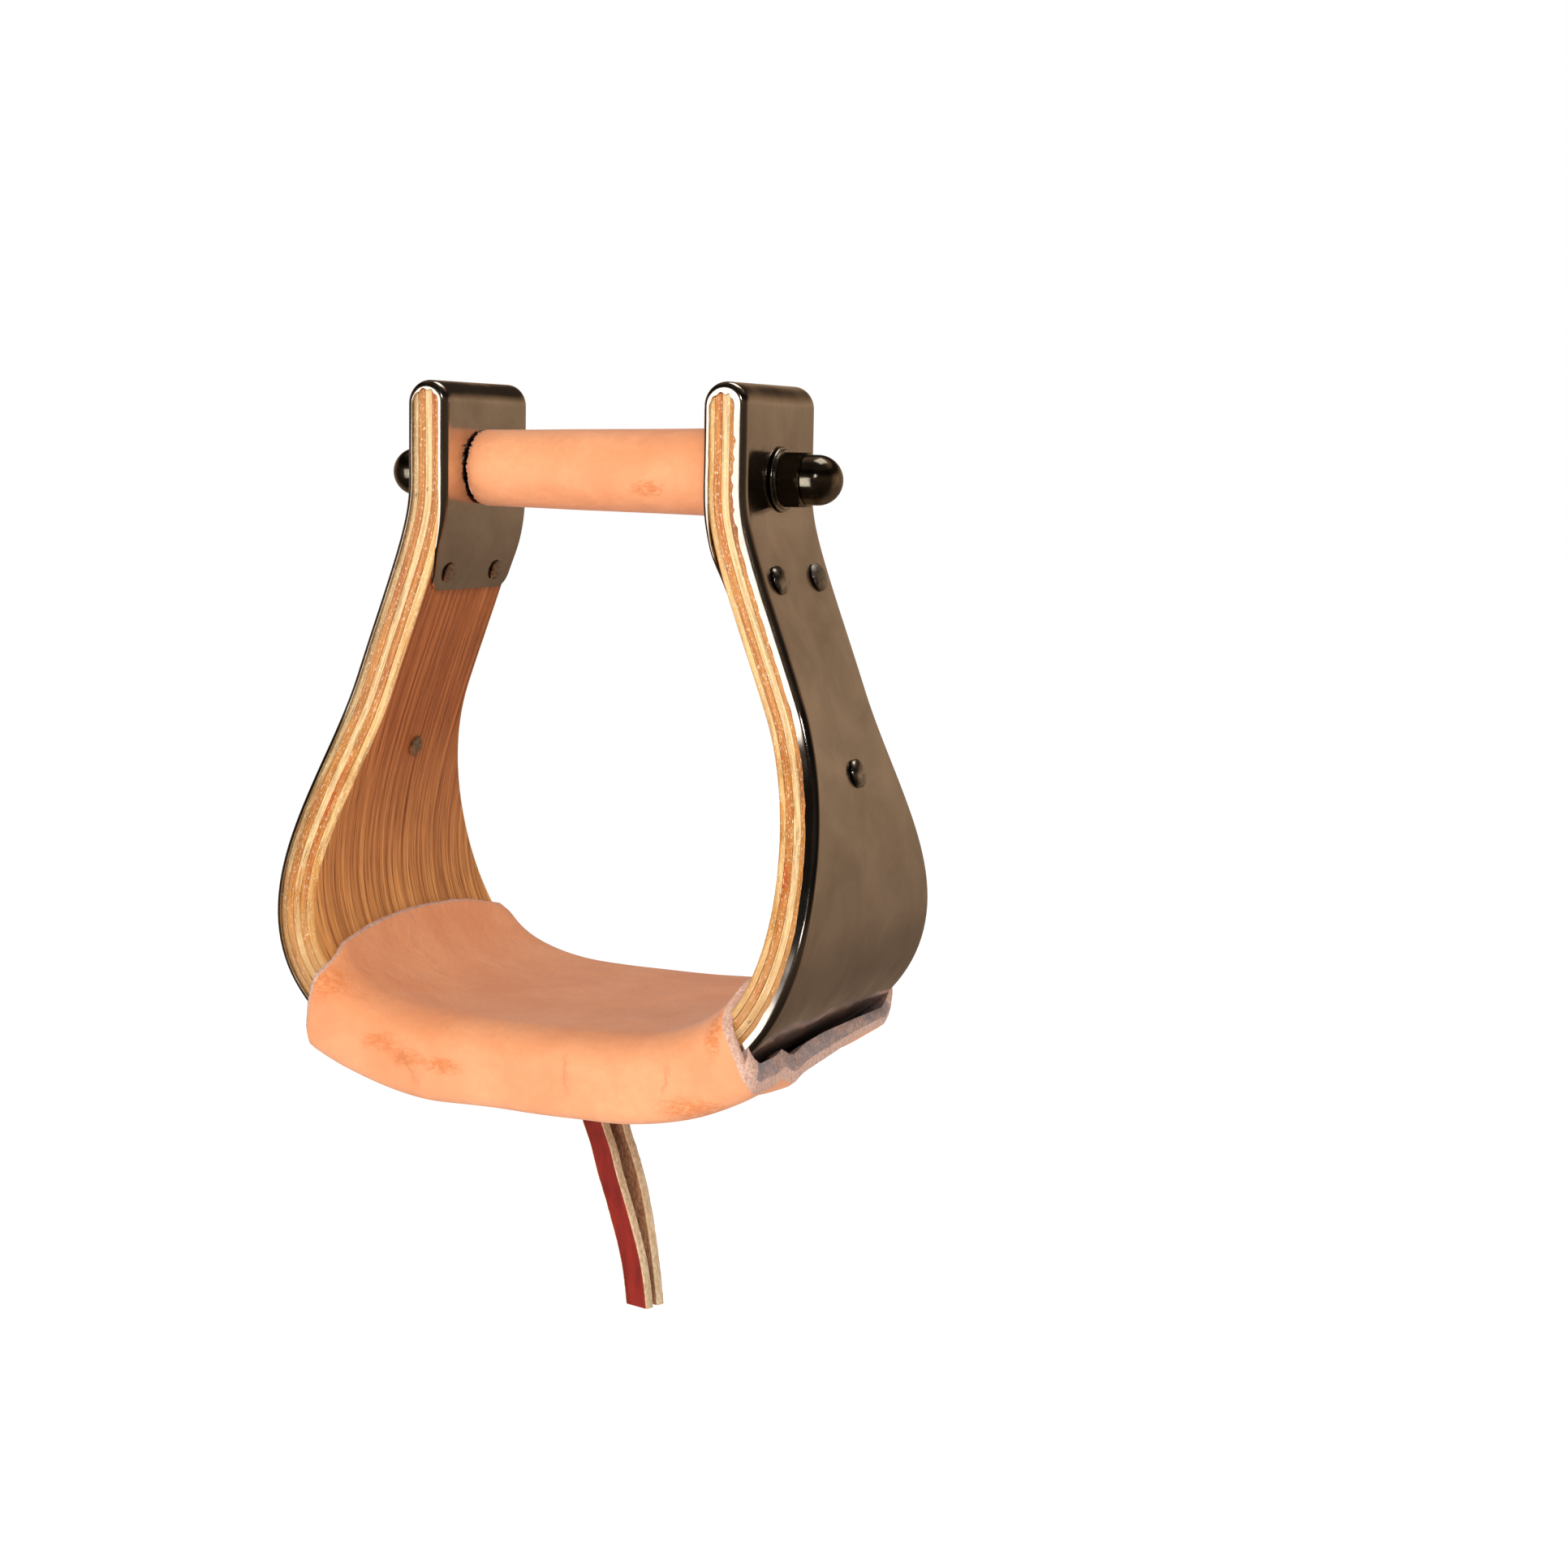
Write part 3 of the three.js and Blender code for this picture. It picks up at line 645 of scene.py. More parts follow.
def ply_section(inner, outer, half, inner_round, outer_round):
    """(depth, y) round a ply, starting with its inner face from front to back."""
    section = []
    for k in range(FACE_STEPS + 1):
        section.append((inner, lerp(-half + inner_round, half - inner_round, k / FACE_STEPS)))
    section += arc((inner + inner_round, half - inner_round), inner_round, 180, 90, CORNER_STEPS)[1:]
    for k in range(1, EDGE_STEPS):
        section.append((lerp(inner + inner_round, outer - outer_round, k / EDGE_STEPS), half))
    section += arc((outer - outer_round, half - outer_round), outer_round, 90, 0, CORNER_STEPS)
    for k in range(1, FACE_STEPS):
        section.append((outer, lerp(half - outer_round, -half + outer_round, k / FACE_STEPS)))
    section += arc((outer - outer_round, -half + outer_round), outer_round, 360, 270, CORNER_STEPS)
    for k in range(1, EDGE_STEPS):
        section.append((lerp(outer - outer_round, inner + inner_round, k / EDGE_STEPS), -half))
    section += arc((inner + inner_round, -half + inner_round), inner_round, 270, 180, CORNER_STEPS)[:-1]
    return section


def make_ply(index, face, edge):
    inner = index * (PLY + GLUE_LINE)
    outer = inner + PLY
    inner_round = 1.1 if index == 0 else 0.14
    outer_round = 0.8 if index == PLY_COUNT - 1 else 0.14
    rings = []
    grains = []
    run = 0.0
    before = None
    count = 2 * BOW_END * STATIONS
    stations = [lerp(-BOW_END, BOW_END, k / count) for k in range(count + 1)]
    rises = 6
    lifts = [(stations[0], 1 - k / rises) for k in range(rises)]
    lifts += [(t, 0.0) for t in stations]
    lifts += [(stations[-1], (k + 1) / rises) for k in range(rises)]
    for t, lift in lifts:
        x, z, nx, nz = bow(t)
        middle = Vector((x + nx * inner, z + nz * inner + 5 * lift))
        run += (middle - before).length if before else 0.0
        before = middle
        ring = []
        for depth, y in ply_section(inner, outer, half_depth(z), inner_round, outer_round):
            rise = lift * top_rise(depth)
            on_edge = abs(y) > half_depth(z) - 0.3
            saw = 0.05 * wobble(run * 0.25, depth * 1.1, y * 0.01, index) if on_edge else 0
            ring.append((x + nx * depth, y + math.copysign(saw, y), z + nz * depth + rise))
            grains.append((run, y, depth))
        rings.append(ring)
    points, faces = loft(rings)
    one_ring = [1 if j < FACE_STEPS else 0 for j in range(len(rings[0]))]
    indices = one_ring * (len(rings) - 1) + [0, 0]
    node = f"ply_{index + 1}"
    slot = "orange_veneer" if index in (1, 3) else "pale_veneer"
    make_piece(
        node, points, faces + end_caps(rings), [edge, face], stands_for=[node],
        slot="oak_face" if index == 0 else slot, face_materials=indices, grain=grains,
    )


# ---- steel binding ---------------------------------------------------------------------------------

CORNER_ARC = 8
LIP_STEPS = 4
FLAT_STEPS = 12
TONGUE_INSET = {True: 2.8, False: 1.0}      # how far its front and back edges stop short of the wood's
TONGUE_CORNER = 4.2


def binding_stops():
    """Stops from the tread's middle up the right arm, over its top and down the tongue. Each is
    (x, z, nx, nz, half depth, zone, share), on the wood, with the direction away from the wood."""
    stops = []
    count = BOW_END * STATIONS
    for i in range(count + 1):
        x, z, nx, nz = bow(i / STATIONS)
        stops.append((x + nx * WOOD, z + nz * WOOD, nx, nz, half_depth(z), "outside", z))
    top_x, top_z, _, _ = bow(BOW_END)
    radius = WOOD / 2
    arch_steps = 30
    for i in range(1, arch_steps):
        angle = math.pi * i / arch_steps
        nx, nz = math.cos(angle), math.sin(angle)
        place = (top_x + radius + radius * nx, top_z + radius * nz)
        stops.append((*place, nx, nz, NECK_HALF_DEPTH, "arch", i / arch_steps))
    end = parameter_at_height(TONGUE_END)
    tongue_steps = 44
    for i in range(tongue_steps + 1):
        share = i / tongue_steps
        x, z, nx, nz = bow(lerp(BOW_END, end, 1 - (1 - share) ** 1.6))
        stops.append((x, z, -nx, -nz, NECK_HALF_DEPTH, "tongue", z))
    return stops


def lip_shape(side, front, zone, value, run):
    """Corner radius, lip length and retreat of the edge from the wood's edge, at one stop."""
    ragged = wobble(run * 0.33, 4.0, 0, 3) + 0.6 * wobble(run * 0.9, 9.0, 0, 5)
    if side > 0:
        outside = (2.0, 1.5 + 0.3 * ragged)
        tongue = (1.2, 0.45 + 0.15 * ragged)
    else:
        outside = (1.3, 0.06 + 0.04 * ragged)
        tongue = (2.5, 0.2 + 0.1 * ragged)
    if zone == "outside":
        chewed = smooth(value, -28, -4) * (1 - smooth(value, 10, 18))
        radius, lip = outside
        return radius, max(lip + (0.8 * chewed * ragged if side > 0 else 0), 0.05), 0.0
    if zone == "arch":
        crimp = 0.45 * math.sin(value * math.pi * 9) * math.sin(value * math.pi)
        radius = lerp(outside[0], tongue[0], value)
        lip = lerp(outside[1], tongue[1], value) + 0.4 * math.sin(value * math.pi) + 0.7 * crimp
        return radius, max(lip, 0.05), 0.0
    radius = lerp(tongue[0], STEEL, smooth(-value, 2, 21))
    lip = lerp(tongue[1], 0.0, smooth(-value, 4, 17))
    retreat = TONGUE_INSET[front] * smooth(-value, 18, 29)
    rise = value - (TONGUE_END + TONGUE_CORNER)
    if rise < 0:
        retreat += TONGUE_CORNER - math.sqrt(max(TONGUE_CORNER**2 - rise**2, 0))
    return radius, lip, retreat


def half_band(radius, lip, edge):
    """(out, y) pairs of the outer and the inner skin, from the middle of the face to the lip's end."""
    inner_radius = max(radius - STEEL, 0.02)
    outer, inner = [], []
    for k in range(FLAT_STEPS + 1):
        y = lerp(0, edge - radius, k / FLAT_STEPS)
        outer.append((SKIN, y))
        inner.append((FIT, y))
    for k in range(1, CORNER_ARC + 1):
        angle = math.pi / 2 * k / CORNER_ARC
        outer.append((SKIN - radius + radius * math.cos(angle), edge - radius + radius * math.sin(angle)))
        inner.append((
            SKIN - radius + inner_radius * math.cos(angle), edge - radius + inner_radius * math.sin(angle),
        ))
    for k in range(1, LIP_STEPS + 1):
        out = SKIN - radius - lip * k / LIP_STEPS
        outer.append((out, edge))
        inner.append((out, edge - STEEL))
    return outer, inner


def make_binding(material):
    half = binding_stops()
    left = [(-x, z, -nx, nz, depth, zone, value) for x, z, nx, nz, depth, zone, value in half[:0:-1]]
    stops = left + half
    rings, grains = [], []
    run = 0.0
    before = None
    for x, z, nx, nz, depth, zone, value in stops:
        here = Vector((x, z))
        run += (here - before).length if before else 0.0
        before = here
        side = 1 if x > 0 else -1
        outer_band, inner_band = [], []
        for sign in (-1, 1):
            radius, lip, retreat = lip_shape(side, sign < 0, zone, value, run + 40 * sign)
            if abs(x) < 45 and zone == "outside":
                radius, lip = lerp(radius, 1.5, 0.5), lerp(lip, 0.8, 0.5)
            outer, inner = half_band(radius, lip, depth + SKIN - retreat)
            outer = [(out, sign * y) for out, y in outer]
            inner = [(out, sign * y) for out, y in inner]
            if sign < 0:
                outer_band += outer[:0:-1]
                inner_band += inner[:0:-1]
            else:
                outer_band += outer
                inner_band += inner
        ring = outer_band + inner_band[::-1]
        placed = []
        for out, y in ring:
            placed.append((x + nx * out, y, z + nz * out))
            grains.append((run, y, out))
        rings.append(placed)
    points, faces = loft(rings)
    count = len(rings[0])
    band = count // 2
    last = (len(rings) - 1) * count
    for start in (0, last):
        for j in range(band - 1):
            faces.append((start + j, start + j + 1, start + count - 2 - j, start + count - 1 - j))
    make_piece(
        "steel_binding", points, faces, [material], stands_for=["steel_binding"],
        slot="polished_steel", crease=50, grain=grains,
    )


# ---- tread -----------------------------------------------------------------------------------------

TREAD_LIFT = 7.6
BASE_FLAT = 24
COVER_END_BASE_X = 67
COVER_END_BASE_Z = -155.5
COVER_END_T = 2.5                           # spline parameter there
# The cover's end on its front wall, (x, z) from the top down; the right one is cut back in a hollow.
RIGHT_RIM = [(66, -123), (60, -128), (57.8, -133), (60.2, -139), (64.2, -147), (67.6, -154), (68, -162)]
LEFT_RIM = [(58.3, -131.8), (61.6, -136.7), (63.2, -140.2), (64.4, -146.6), (64.4, -155), (63, -162)]
BACK_RIM = [(60, -132), (63.5, -137), (65, -145), (66, -155), (66, -162)]
RIM_SHARES = (0.12, 0.35, 0.65, 0.88)       # rows of points across the cover's cut edge
RIM_BULGE = 1.1


def cover_lift(t):
    return lerp(TREAD_LIFT, LEATHER + LEATHER_GAP, smooth(abs(t), 0.5, 2.2))


def cover_base(x):
    run = max(abs(x) - BASE_FLAT, 0) / (COVER_END_BASE_X - BASE_FLAT)
    return COVER_BASE + (COVER_END_BASE_Z - COVER_BASE) * run**2


def half_section(top_round):
    """(side, up) round half of the cover, from beside the seam underneath to the middle of its top."""
    bottom_round = (0.13, 0.42)
    half = []
    seam = [0.012, 0.02, 0.03, 0.045, 0.07, 0.1]
    half += [(side, -1.0) for side in seam]
    half += [(lerp(0.13, 1 - bottom_round[0], k / 14), -1.0) for k in range(14)]
    for k in range(9):
        angle = math.radians(-90 + 90 * k / 8)
        side = 1 - bottom_round[0] + bottom_round[0] * math.cos(angle)
        half.append((side, -1 + bottom_round[1] + bottom_round[1] * math.sin(angle)))
    walls = [(1.0, lerp(-1 + bottom_round[1], 1 - top_round[1], k / 7)) for k in range(1, 7)]
    half += walls
    for k in range(13):
        angle = math.radians(90 * k / 12)
        side = 1 - top_round[0] + top_round[0] * math.cos(angle)
        half.append((side, 1 - top_round[1] + top_round[1] * math.sin(angle)))
    half += [(lerp(1 - top_round[0], 0, k / 12), 1.0) for k in range(1, 12)]
    return half


def cover_section():
    """(side, up) round the cover, from the seam underneath by the back to the seam again. The front
    edge of the top is the rounder one."""
    front = [(-side, up) for side, up in reversed(half_section((0.24, 0.72)))]
    return [(0.0, -1.0)] + half_section((0.12, 0.36)) + [(0.0, 1.0)] + front


def cover_point(side, up, t, inset):
    x, z, nx, nz = bow(t)
    lift = cover_lift(t) - inset
    top = (x - nx * lift, z - nz * lift)
    base_x = COVER_END_BASE_X * t / COVER_END_T
    share = (up + 1) / 2
    y = side * (COVER_HALF - inset)
    px = lerp(base_x, top[0], share)
    pz = lerp(cover_base(base_x) + inset, top[1], share)
    sag = 0.5 * wobble(px * 0.035, y * 0.04, pz * 0.04, 7) * (1 if abs(t) < 1.9 else 0.5)
    groove = 0.9 * math.exp(-((y / 0.9) ** 2)) if up <= -1 and inset == 0 else 0
    pz += (sag - 0.3) * max(up, 0) + groove
    if up < -0.5:
        pz += flap_shape(px, y) + inset * (1.7 - 0.9 * smooth(y, -10, 35)) * smooth(px, 50, 66)
    y -= math.copysign(0.5 * (0.5 + 0.5 * wobble(px * 0.04, side, pz * 0.07, 11)), side) * abs(side) ** 8
    return px, y, pz


def flap_shape(x, y):
    """The right end of the bottom is puckered where the seam and the lace's knot pull it."""
    near_end = smooth(x, 50, 66)
    slit = 1.3 * math.exp(-(((y + 29) / 2.2) ** 2))
    lump = -1.6 * math.exp(-(((y + 21) / 4.5) ** 2))
    rise = 2.6 * smooth(y, -15, 30)
    return near_end * (slit + lump + rise) + 0.35 * wobble(x * 0.05, y * 0.06, 0, 13)


def rim_x(rim, z):
    if z >= rim[0][1]:
        return rim[0][0]
    for (xa, za), (xb, zb) in zip(rim, rim[1:]):
        if z >= zb:
            return lerp(xa, xb, (za - z) / (za - zb))
    return rim[-1][0]


def beyond_end(side, up, t, end):
    """Above 0 where the cover has been cut away, at a station t > 0 of one end."""
    x, y, z = cover_point(side, up, t, 0)
    if up > (0.97 if side < 0 else 0.8):
        if side > 0:
            edge = -124.5 - 4 * (y / 50) ** 2 - 5 * (y / 50) ** 8
        elif end > 0:
            edge = -124.5 - 3.5 * (y / 50) ** 2
        else:
            edge = -124.5 - 6.5 * (y / 50) ** 2
        return z - edge
    if up > -0.95:
        rim = BACK_RIM if side > 0 else (RIGHT_RIM if end > 0 else LEFT_RIM)
        return x - rim_x(rim, z)
    corner = max(y - 38, 0) / 13
    return x - (66.8 - 5.5 * corner**2)


def end_station(side, up, end):
    low, high = 1.2, 3.2
    for _ in range(30):
        middle = (low + high) / 2
        if beyond_end(side, up, middle, end) < 0:
            low = middle
        else:
            high = middle
    return low


def make_cover(grain, flesh, cut):
    section = cover_section()
    count = len(section)
    ends = {}
    for end in (-1, 1):
        stations = [end_station(side, up, end) for side, up in section]
        for _ in range(9):
            stations = [
                (stations[j - 1] + 2 * stations[j] + stations[(j + 1) % count]) / 4 for j in range(count)
            ]
        ends[end] = stations
    steps = 72
    rows = {0: [], LEATHER: []}
    for inset, rings in rows.items():
        for k in range(steps + 1):
            at_end = k in (0, steps)
            rim_inset = inset + (0.15 if at_end and not inset else 0)
            ring = []
            for j, (side, up) in enumerate(section):
                t = lerp(-ends[-1][j], ends[1][j], k / steps)
                fray = 0.006 * wobble(j * 0.9, k, inset, 2) if at_end else 0.0
                ring.append(cover_point(side, up, t + fray, rim_inset))
            rings.append(ring)
    outer, outer_faces = loft(rows[0])
    inner, inner_faces = loft(rows[LEATHER])
    offset = len(outer)
    faces = outer_faces + [tuple(offset + i for i in face) for face in inner_faces]
    indices = [0] * len(outer_faces) + [1] * len(inner_faces)
    points = outer + inner
    for start, beside in ((0, count), (steps * count, (steps - 1) * count)):
        rim = [[start + j for j in range(count)]]
        for share in RIM_SHARES:
            row = []
            for j in range(count):
                here, there = Vector(outer[start + j]), Vector(inner[start + j])
                away = (here - Vector(outer[beside + j])).normalized()
                bulge = RIM_BULGE * math.sin(math.pi * share) + 0.25 * wobble(j * 0.7, share * 3, start, 8)
                row.append(len(points))
                points.append(tuple(here.lerp(there, share) + away * bulge))
            rim.append(row)
        rim.append([offset + start + j for j in range(count)])
        for strip, (upper, lower) in enumerate(zip(rim, rim[1:])):
            for j in range(count):
                k = (j + 1) % count
                faces.append((upper[j], upper[k], lower[k], lower[j]))
                indices.append(1 if section[j][1] < -0.9 and strip > 1 else 2)
    make_piece(
        "tread_cover", points, faces, [grain, flesh, cut], stands_for=["tread_cover"],
        slot="skirting_leather", face_materials=indices, crease=60,
    )


def make_block(material):
    """The packing under the cover, rounded along its front and back."""
    rings = []
    half = COVER_HALF - LEATHER - 2 * LEATHER_GAP - 0.8
    round_steps = 6
    for k in range(33):
        t = lerp(-1.5, 1.5, k / 32)
        x, z, nx, nz = bow(t)
        low = LEATHER_GAP
        high = max(cover_lift(t) - LEATHER - LEATHER_GAP - 1.3, low + 0.15)
        section = [(-half, low), (-half, lerp(low, high, 0.3))]
        for i in range(round_steps + 1):
            angle = math.pi / 2 * i / round_steps
            section.append((-half + 7 - 7 * math.cos(angle), lerp(low, high, 0.3 + 0.7 * math.sin(angle))))
        section += [(-y, up) for y, up in reversed(section)]
        rings.append([(x - nx * up, y, z - nz * up) for y, up in section])
    points, faces = loft(rings)
    make_piece(
        "tread_block", points, faces + end_caps(rings), [material], stands_for=["tread_block"],
        slot="packing_wood",
    )


def make_lace(grain, edge):
    """The lace's zigzag under the tread, one strap from each hole to the next."""
    step = 2 * LACE_HALF_RUN / LACE_CROSSINGS
    section = strap_section(1.9, 0.62, 4, 2)
    points, faces, indices = [], [], []
    for i in range(LACE_CROSSINGS):
        start = Vector((-LACE_HALF_RUN + step * i, (-1 if i % 2 == 0 else 1) * LACE_HALF_SPREAD))
        stop = Vector((-LACE_HALF_RUN + step * (i + 1), (1 if i % 2 == 0 else -1) * LACE_HALF_SPREAD))
        across = (stop - start).orthogonal().normalized()
        rings = []
        for k in range(19):
            share = k / 18
            centre = start.lerp(stop, share)
            end = min(share, 1 - share)
            narrow = lerp(0.6, 1, smooth(end, 0, 0.12))
            dive = 1.3 * (1 - smooth(end, 0, 0.09))
            ring = []
            for a, b in section:
                place = centre + across * a * narrow
                z = cover_base(place.x) - LEATHER_GAP - 0.72 + b + dive + 0.05 * wobble(k, a, b, i)
                ring.append((place.x, place.y, z))
            rings.append(ring)
        lofted, quads = loft(rings)
        offset = len(points)
        points += lofted
        new_faces = quads + end_caps(rings)
        faces += [tuple(offset + v for v in face) for face in new_faces]
        indices += [0] * len(new_faces)
    make_piece(
        "tread_lace", points, faces, [grain, edge], stands_for=["tread_lace"], slot="latigo",
        face_materials=indices,
    )


# ---- roller, washers and nuts ----------------------------------------------------------------------


def make_sleeve(grain, cut):
    """The leather tube on the roller: slightly conical, with ragged cut ends and a narrow seam up and back."""
    bore = 9.15
    steps = 60
    segments = 120

    def outer_radius(x, angle):
        base = lerp(10.5, 11.8, (x + ROLLER_END) / (2 * ROLLER_END)) - 0.1
        seam = 0.55 * math.exp(-(((angle - math.pi * 0.28) / 0.035) ** 2))
        soft = 0.1 * wobble(x * 0.06, 2 * math.cos(angle), 2 * math.sin(angle), 4)
        return base - seam + soft

    def ragged(x, angle, radius):
        if abs(x) < ROLLER_END - 0.01:
            return x
        tooth = abs(wobble(14 * math.cos(angle), 14 * math.sin(angle), radius, 6))
        return x - math.copysign(1.5 * tooth, x)

    rings = []
    wall = [0.0, 0.2, 0.4, 0.6, 0.8]
    for share in wall:
        rings.append(("cut", -ROLLER_END, share))
    for k in range(steps + 1):
        rings.append(("out", lerp(-ROLLER_END, ROLLER_END, k / steps), 1.0))
    for share in reversed(wall):
        rings.append(("cut", ROLLER_END, share))
    built, kinds = [], []
    for kind, x, share in rings:
        ring = []
        for j in range(segments):
            angle = 2 * math.pi * j / segments
            edge = ROLLER_END - abs(x)
            drop = 0.4 * math.exp(-((edge / 0.5) ** 2)) if kind == "out" else 0
            radius = lerp(bore, outer_radius(x, angle), share) - drop
            at = ragged(x, angle, radius)
            ring.append((at, ROLLER_Y + radius * math.cos(angle), ROLLER_Z + radius * math.sin(angle)))
        built.append(ring)
        kinds.append(kind)
    points, faces = ring_loft(built)
    indices = []
    for i in range(len(built)):
        both_out = kinds[i] == "out" and kinds[(i + 1) % len(built)] == "out"
        indices += [0 if both_out else 1] * segments
    make_piece(
        "roller_sleeve", points, faces, [grain, cut], body="roller", stands_for=["roller_sleeve"],
        slot="skirting_leather", face_materials=indices, crease=50,
    )


WASHER_SEAT = BINDING_FACE + 0.5
WASHER_HEIGHT = 1.3


def make_washer(side, material):
    """A flat washer with a smaller spring washer on it."""
    profile = [
        (5.0, 0), (8.4, 0), (8.62, 0.1), (8.7, 0.3), (8.62, 0.52), (8.35, 0.62), (7.95, 0.64),
        (7.85, 0.72), (8.0, 0.84), (8.02, 1.05), (7.85, 1.25), (7.5, WASHER_HEIGHT), (5.0, WASHER_HEIGHT),
    ]
    segments = 96
    points, faces = ring_loft(turned_rings([(radius, WASHER_SEAT + up) for radius, up in profile], segments))
    points = [(side * x, y, z) for x, y, z in points]
    name = "washer_right" if side > 0 else "washer_left"
    make_piece(name, points, faces, [material], stands_for=[name], slot="fastener_steel")


def make_cap_nut(side, material):
    seat = WASHER_SEAT + WASHER_HEIGHT + 0.05
    flats = 14.3
    hex_height = 6.0
    dome_radius = 6.65
    tip = 68.0
    corner = flats / math.sqrt(3)
    hex_end = seat + hex_height

    def chamfer(x):
        low = corner - 0.95 + (x - seat) * 1.4
        high = corner - 1.35 + (hex_end - x) * 1.5
        return min(low, high, corner)

    profile = [("bore", 0.0, seat), ("hex", 0, seat)]
    for k in range(1, 16):
        profile.append(("hex", 0, lerp(seat, hex_end, k / 16)))
    profile.append(("hex", 0, hex_end))
    profile.append(("round", dome_radius - 0.25, hex_end + 0.02))
    profile.append(("round", dome_radius, hex_end + 0.35))
    centre = tip - dome_radius
    profile.append(("round", dome_radius, centre))
    for k in range(1, 14):
        angle = math.pi / 2 * k / 14
        profile.append(("round", dome_radius * math.cos(angle), centre + dome_radius * math.sin(angle)))
    segments = 144
    rings = []
    for kind, radius, x in profile:
        ring = []
        for j in range(segments):
            angle = 2 * math.pi * j / segments
            r = radius
            if kind == "hex":
                fold = (angle % (math.pi / 3)) - math.pi / 6
                r = min(flats / 2 / math.cos(fold), chamfer(x))
            elif kind == "bore":
                r = 4.9
            ring.append((side * x, r * math.cos(angle), r * math.sin(angle)))
        rings.append(ring)
    points, faces = loft(rings)
    tip_index = len(points)
    points.append((side * tip, 0, 0))
    last = (len(rings) - 1) * segments
    faces += [(last + j, last + (j + 1) % segments, tip_index) for j in range(segments)]
    faces.append(tuple(range(segments)))
    name = "cap_nut_right" if side > 0 else "cap_nut_left"
    make_piece(name, points, faces, [material], stands_for=[name], slot="dark_nickel", crease=22)


# ---- rivets ----------------------------------------------------------------------------------------

RIVET_HEIGHTS = {"left": (-27, -77.5), "right": (-30, -80)}
UPPER_RIVET_OFFSET = 12.6


def make_rivet(name, side, t, y, tongue, head_material, tail_material, seed):
    """A domed head outside the binding, and a tail peened into an uneven disc on the inner face."""
    gap = 0.3
    skin = SKIN + gap
    head = WOOD + skin
    tail = -skin if tongue else -gap
    profile = [(0.01, tail - 0.8), (0.9, tail - 0.86), (1.7, tail - 0.8), (2.4, tail - 0.66)]
    profile.append((2.85, tail - 0.4))
    profile += [(3.0, tail - 0.15), (2.9, tail), (2.1, tail), (2.1, head), (3.7, head), (3.9, head + 0.12)]
    for k in range(1, 10):
        angle = math.pi / 2 * k / 10
        profile.append((3.9 * math.cos(angle), head + 0.12 + 1.76 * math.sin(angle)))
    profile.append((0.01, head + 1.88))

    def rough(radius, x, angle):
        if x > tail + 0.01 or radius < 0.1:
            return radius, x
        lump = wobble(math.cos(angle) * 1.3, math.sin(angle) * 1.3, radius * 0.7, seed)
        pit = wobble(math.cos(angle) * radius * 1.1, math.sin(angle) * radius * 1.1, 3, seed + 3)
        return radius * (0.96 + 0.12 * min(lump, 0.3)), min(x + 0.22 * pit, tail)

    segments = 48
    rings = turned_rings(profile, segments, rough)
    x, z, nx, nz = bow(t)
    placed = []
    for ring in rings:
        turned = []
        for out, across, up in ring:
            turned.append((side * (x + nx * out - nz * up), y + across, z + nz * out + nx * up))
        placed.append(turned)
    points, faces = loft(placed)
    indices = [1 if i < 7 else 0 for i in range(len(rings) - 1) for _ in range(segments)]
    make_piece(
        name, points, faces + end_caps(placed), [head_material, tail_material], stands_for=[name],
        slot="fastener_steel", face_materials=indices + [1, 0], crease=40,
    )


def make_rivets(smooth_steel, rough_steel):
    for side, arm in ((-1, "left"), (1, "right")):
        upper, mid = (parameter_at_height(height) for height in RIVET_HEIGHTS[arm])
        back_head = rough_steel if arm == "right" else smooth_steel
        rivets = [
            (f"rivet_upper_{arm}_front", upper, -UPPER_RIVET_OFFSET, True, smooth_steel, side + 2),
            (f"rivet_upper_{arm}_back", upper, UPPER_RIVET_OFFSET, True, back_head, side + 5),
            (f"rivet_mid_{arm}", mid, 0, False, smooth_steel, side + 8),
        ]
        for name, t, y, tongue, head, seed in rivets:
            make_rivet(name, side, t, y, tongue, head, rough_steel, seed)


# ---- floor, light and background -------------------------------------------------------------------


ROOM = [
    # Height in the room, from the floor at 0 to the ceiling at 1, and its colour there.
    (0.0, (0.12, 0.09, 0.065)), (0.35, (0.3, 0.21, 0.145)), (0.58, (0.38, 0.27, 0.18)),
    (0.66, (0.2, 0.13, 0.08)), (0.72, (0.025, 0.018, 0.013)), (0.84, (0.03, 0.022, 0.016)),
    (0.9, (0.32, 0.22, 0.15)), (1.0, (0.1, 0.07, 0.05)),
]


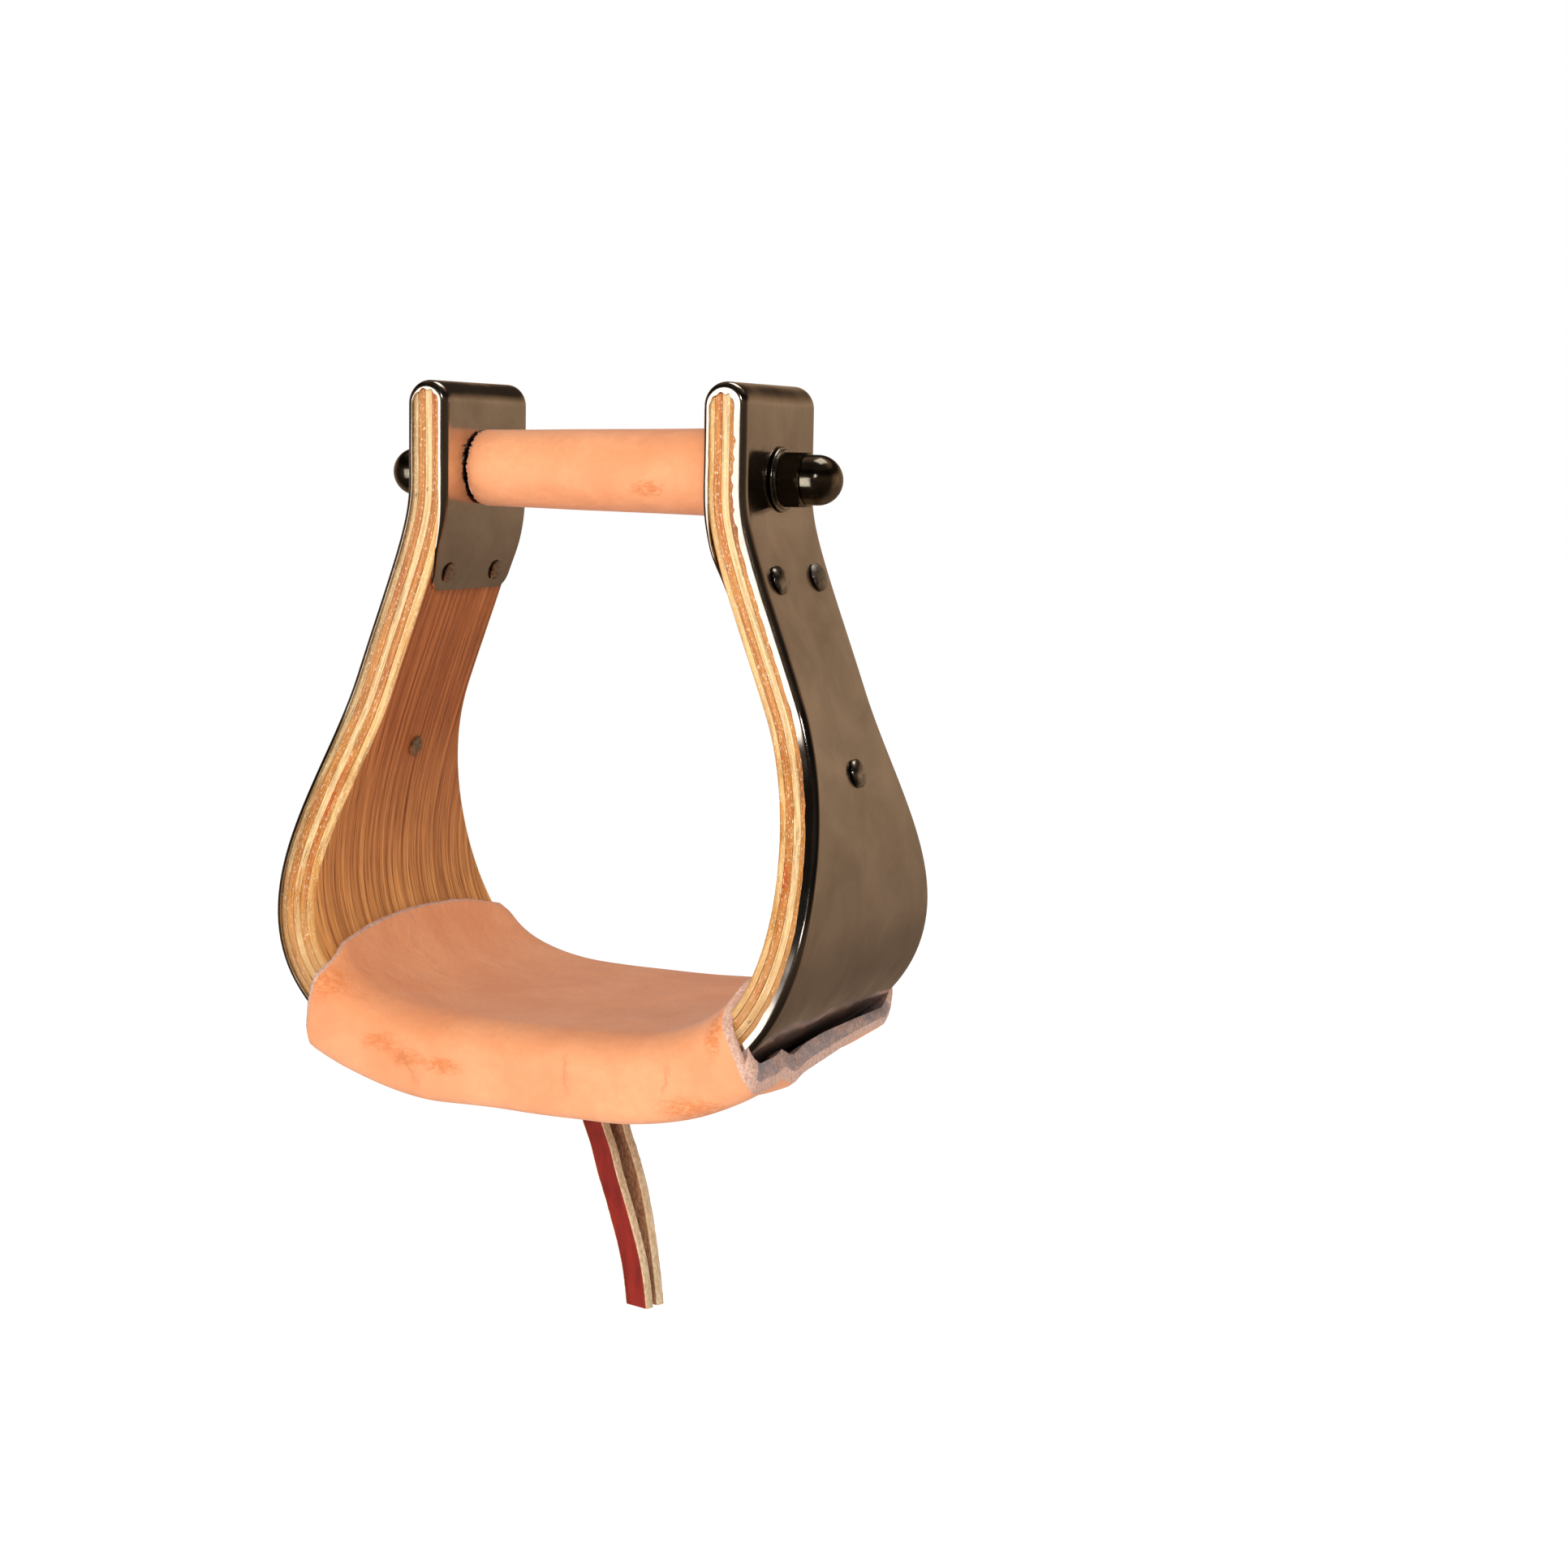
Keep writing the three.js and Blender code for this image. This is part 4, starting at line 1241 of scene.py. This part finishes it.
def make_world():
    """White to the camera, soft white to matt surfaces, and a warm brown room to glossy ones."""
    world = bpy.data.worlds.new("studio")
    bpy.context.scene.world = world
    world.use_nodes = True
    n = Nodes(world.node_tree)
    direction = n.add("ShaderNodeTexCoord").outputs["Generated"]
    ramp = n.add("ShaderNodeValToRGB", {0: n.levels(n.part(direction, 2), -1, 1)})
    elements = ramp.color_ramp.elements
    while len(elements) < len(ROOM):
        elements.new(0.5)
    for element, (position, colour) in zip(elements, ROOM):
        element.position = position
        element.color = (*colour, 1)
    cloud = n.noise(direction, 1.4, 2, 0.5)
    # The half of the room on the main camera's side, -Y, is dark.
    behind = n.levels(n.part(direction, 1), -0.1, 0.35, 0.16)
    dimmed = n.add("ShaderNodeVectorMath", {0: ramp.outputs[0], "Scale": behind}, operation="SCALE")
    room = n.tree.nodes["Background"]
    n.put(room.inputs[0], dimmed.outputs[0])
    n.put(room.inputs[1], n.levels(cloud, 0.3, 0.7, 0.65, 1.2))
    soft = n.add("ShaderNodeBackground", {0: (1, 1, 1), 1: 0.38}).outputs[0]
    white = n.add("ShaderNodeBackground", {0: (1, 1, 1), 1: 1.0}).outputs[0]
    ray = n.add("ShaderNodeLightPath").outputs
    matt = n.add("ShaderNodeMixShader", {0: ray["Is Glossy Ray"], 1: soft, 2: room.outputs[0]}).outputs[0]
    seen = n.add("ShaderNodeMixShader", {0: ray["Is Camera Ray"], 1: matt, 2: white}).outputs[0]
    n.put(n.tree.nodes["World Output"].inputs["Surface"], seen)


def area_light(name, place, target, size, power):
    data = bpy.data.lights.new(name, "AREA")
    data.shape = "RECTANGLE"
    data.size, data.size_y = size
    data.energy = power
    light = bpy.data.objects.new(name, data)
    light.location = place
    light.rotation_euler = (Vector(target) - Vector(place)).to_track_quat("-Z", "Y").to_euler()
    bpy.context.scene.collection.objects.link(light)
    return light


def make_lights():
    """A soft key that the steel doesn't mirror, a strip that it does, and a small glint for the nuts."""
    middle = (0, 0, -0.07)
    key = area_light("key", (0.42, -0.95, 0.38), middle, (0.4, 0.4), 10)
    key.visible_glossy = False
    area_light("strip", (-0.41, -0.86, -0.15), middle, (0.45, 0.62), 2.0)
    area_light("glint", (0.2, -0.9, 0.3), middle, (0.09, 0.09), 0.35)
    area_light("top", (0.1, 0.25, 1.1), middle, (0.6, 0.6), 2.5)


def make_floor():
    mesh = bpy.data.meshes.new("floor")
    reach = 12
    level = -0.42
    corners = [(x, y, level) for x, y in ((-reach, -reach), (reach, -reach), (reach, reach), (-reach, reach))]
    mesh.from_pydata(corners, [], [(0, 1, 2, 3)])
    s = Surface("floor", 0.9)
    tone = s.noise(s.place(), 0.004, 2, 0.5)
    s.shader.inputs["Emission Color"].default_value = (1, 1, 1, 1)
    s.shader.inputs["Emission Strength"].default_value = 0.88
    mesh.materials.append(s.finish(s.mix(tone, (0.4, 0.4, 0.4), (0.44, 0.44, 0.44))))
    floor = bpy.data.objects.new("floor", mesh)
    floor.visible_glossy = False
    bpy.context.scene.collection.objects.link(floor)


# ---- the scene -------------------------------------------------------------------------------------


def main():
    make_camera()
    materials = make_materials()
    red, raw, edge = (materials[name] for name in ("latigo", "latigo_flesh", "latigo_cut"))
    make_tail("lace_tail_front", FRONT_TAIL, red, raw, edge, 1)
    make_tail("lace_tail_back", BACK_TAIL, raw, red, edge, 9)
    for index in range(PLY_COUNT):
        edge = materials[f"edge_{index + 1}"]
        make_ply(index, materials["oak_face"] if index == 0 else edge, edge)
    make_binding(materials["steel"])
    make_block(materials["packing"])
    make_cover(materials["cover"], materials["flesh"], materials["cut"])
    make_lace(materials["latigo"], materials["latigo_cut"])
    make_sleeve(materials["sleeve"], materials["cut"])
    for side in (-1, 1):
        make_washer(side, materials["rivet"])
        make_cap_nut(side, materials["nickel"])
    make_rivets(materials["rivet"], materials["rivet_rough"])
    for node, finish in (("cross_rod", "nickel"), ("roller_tube", "rivet")):
        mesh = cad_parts[node].data
        mesh.materials.clear()
        mesh.materials.append(materials[finish])
    make_floor()
    make_world()
    make_lights()
    bpy.context.scene.view_settings.view_transform = "Standard"


main()
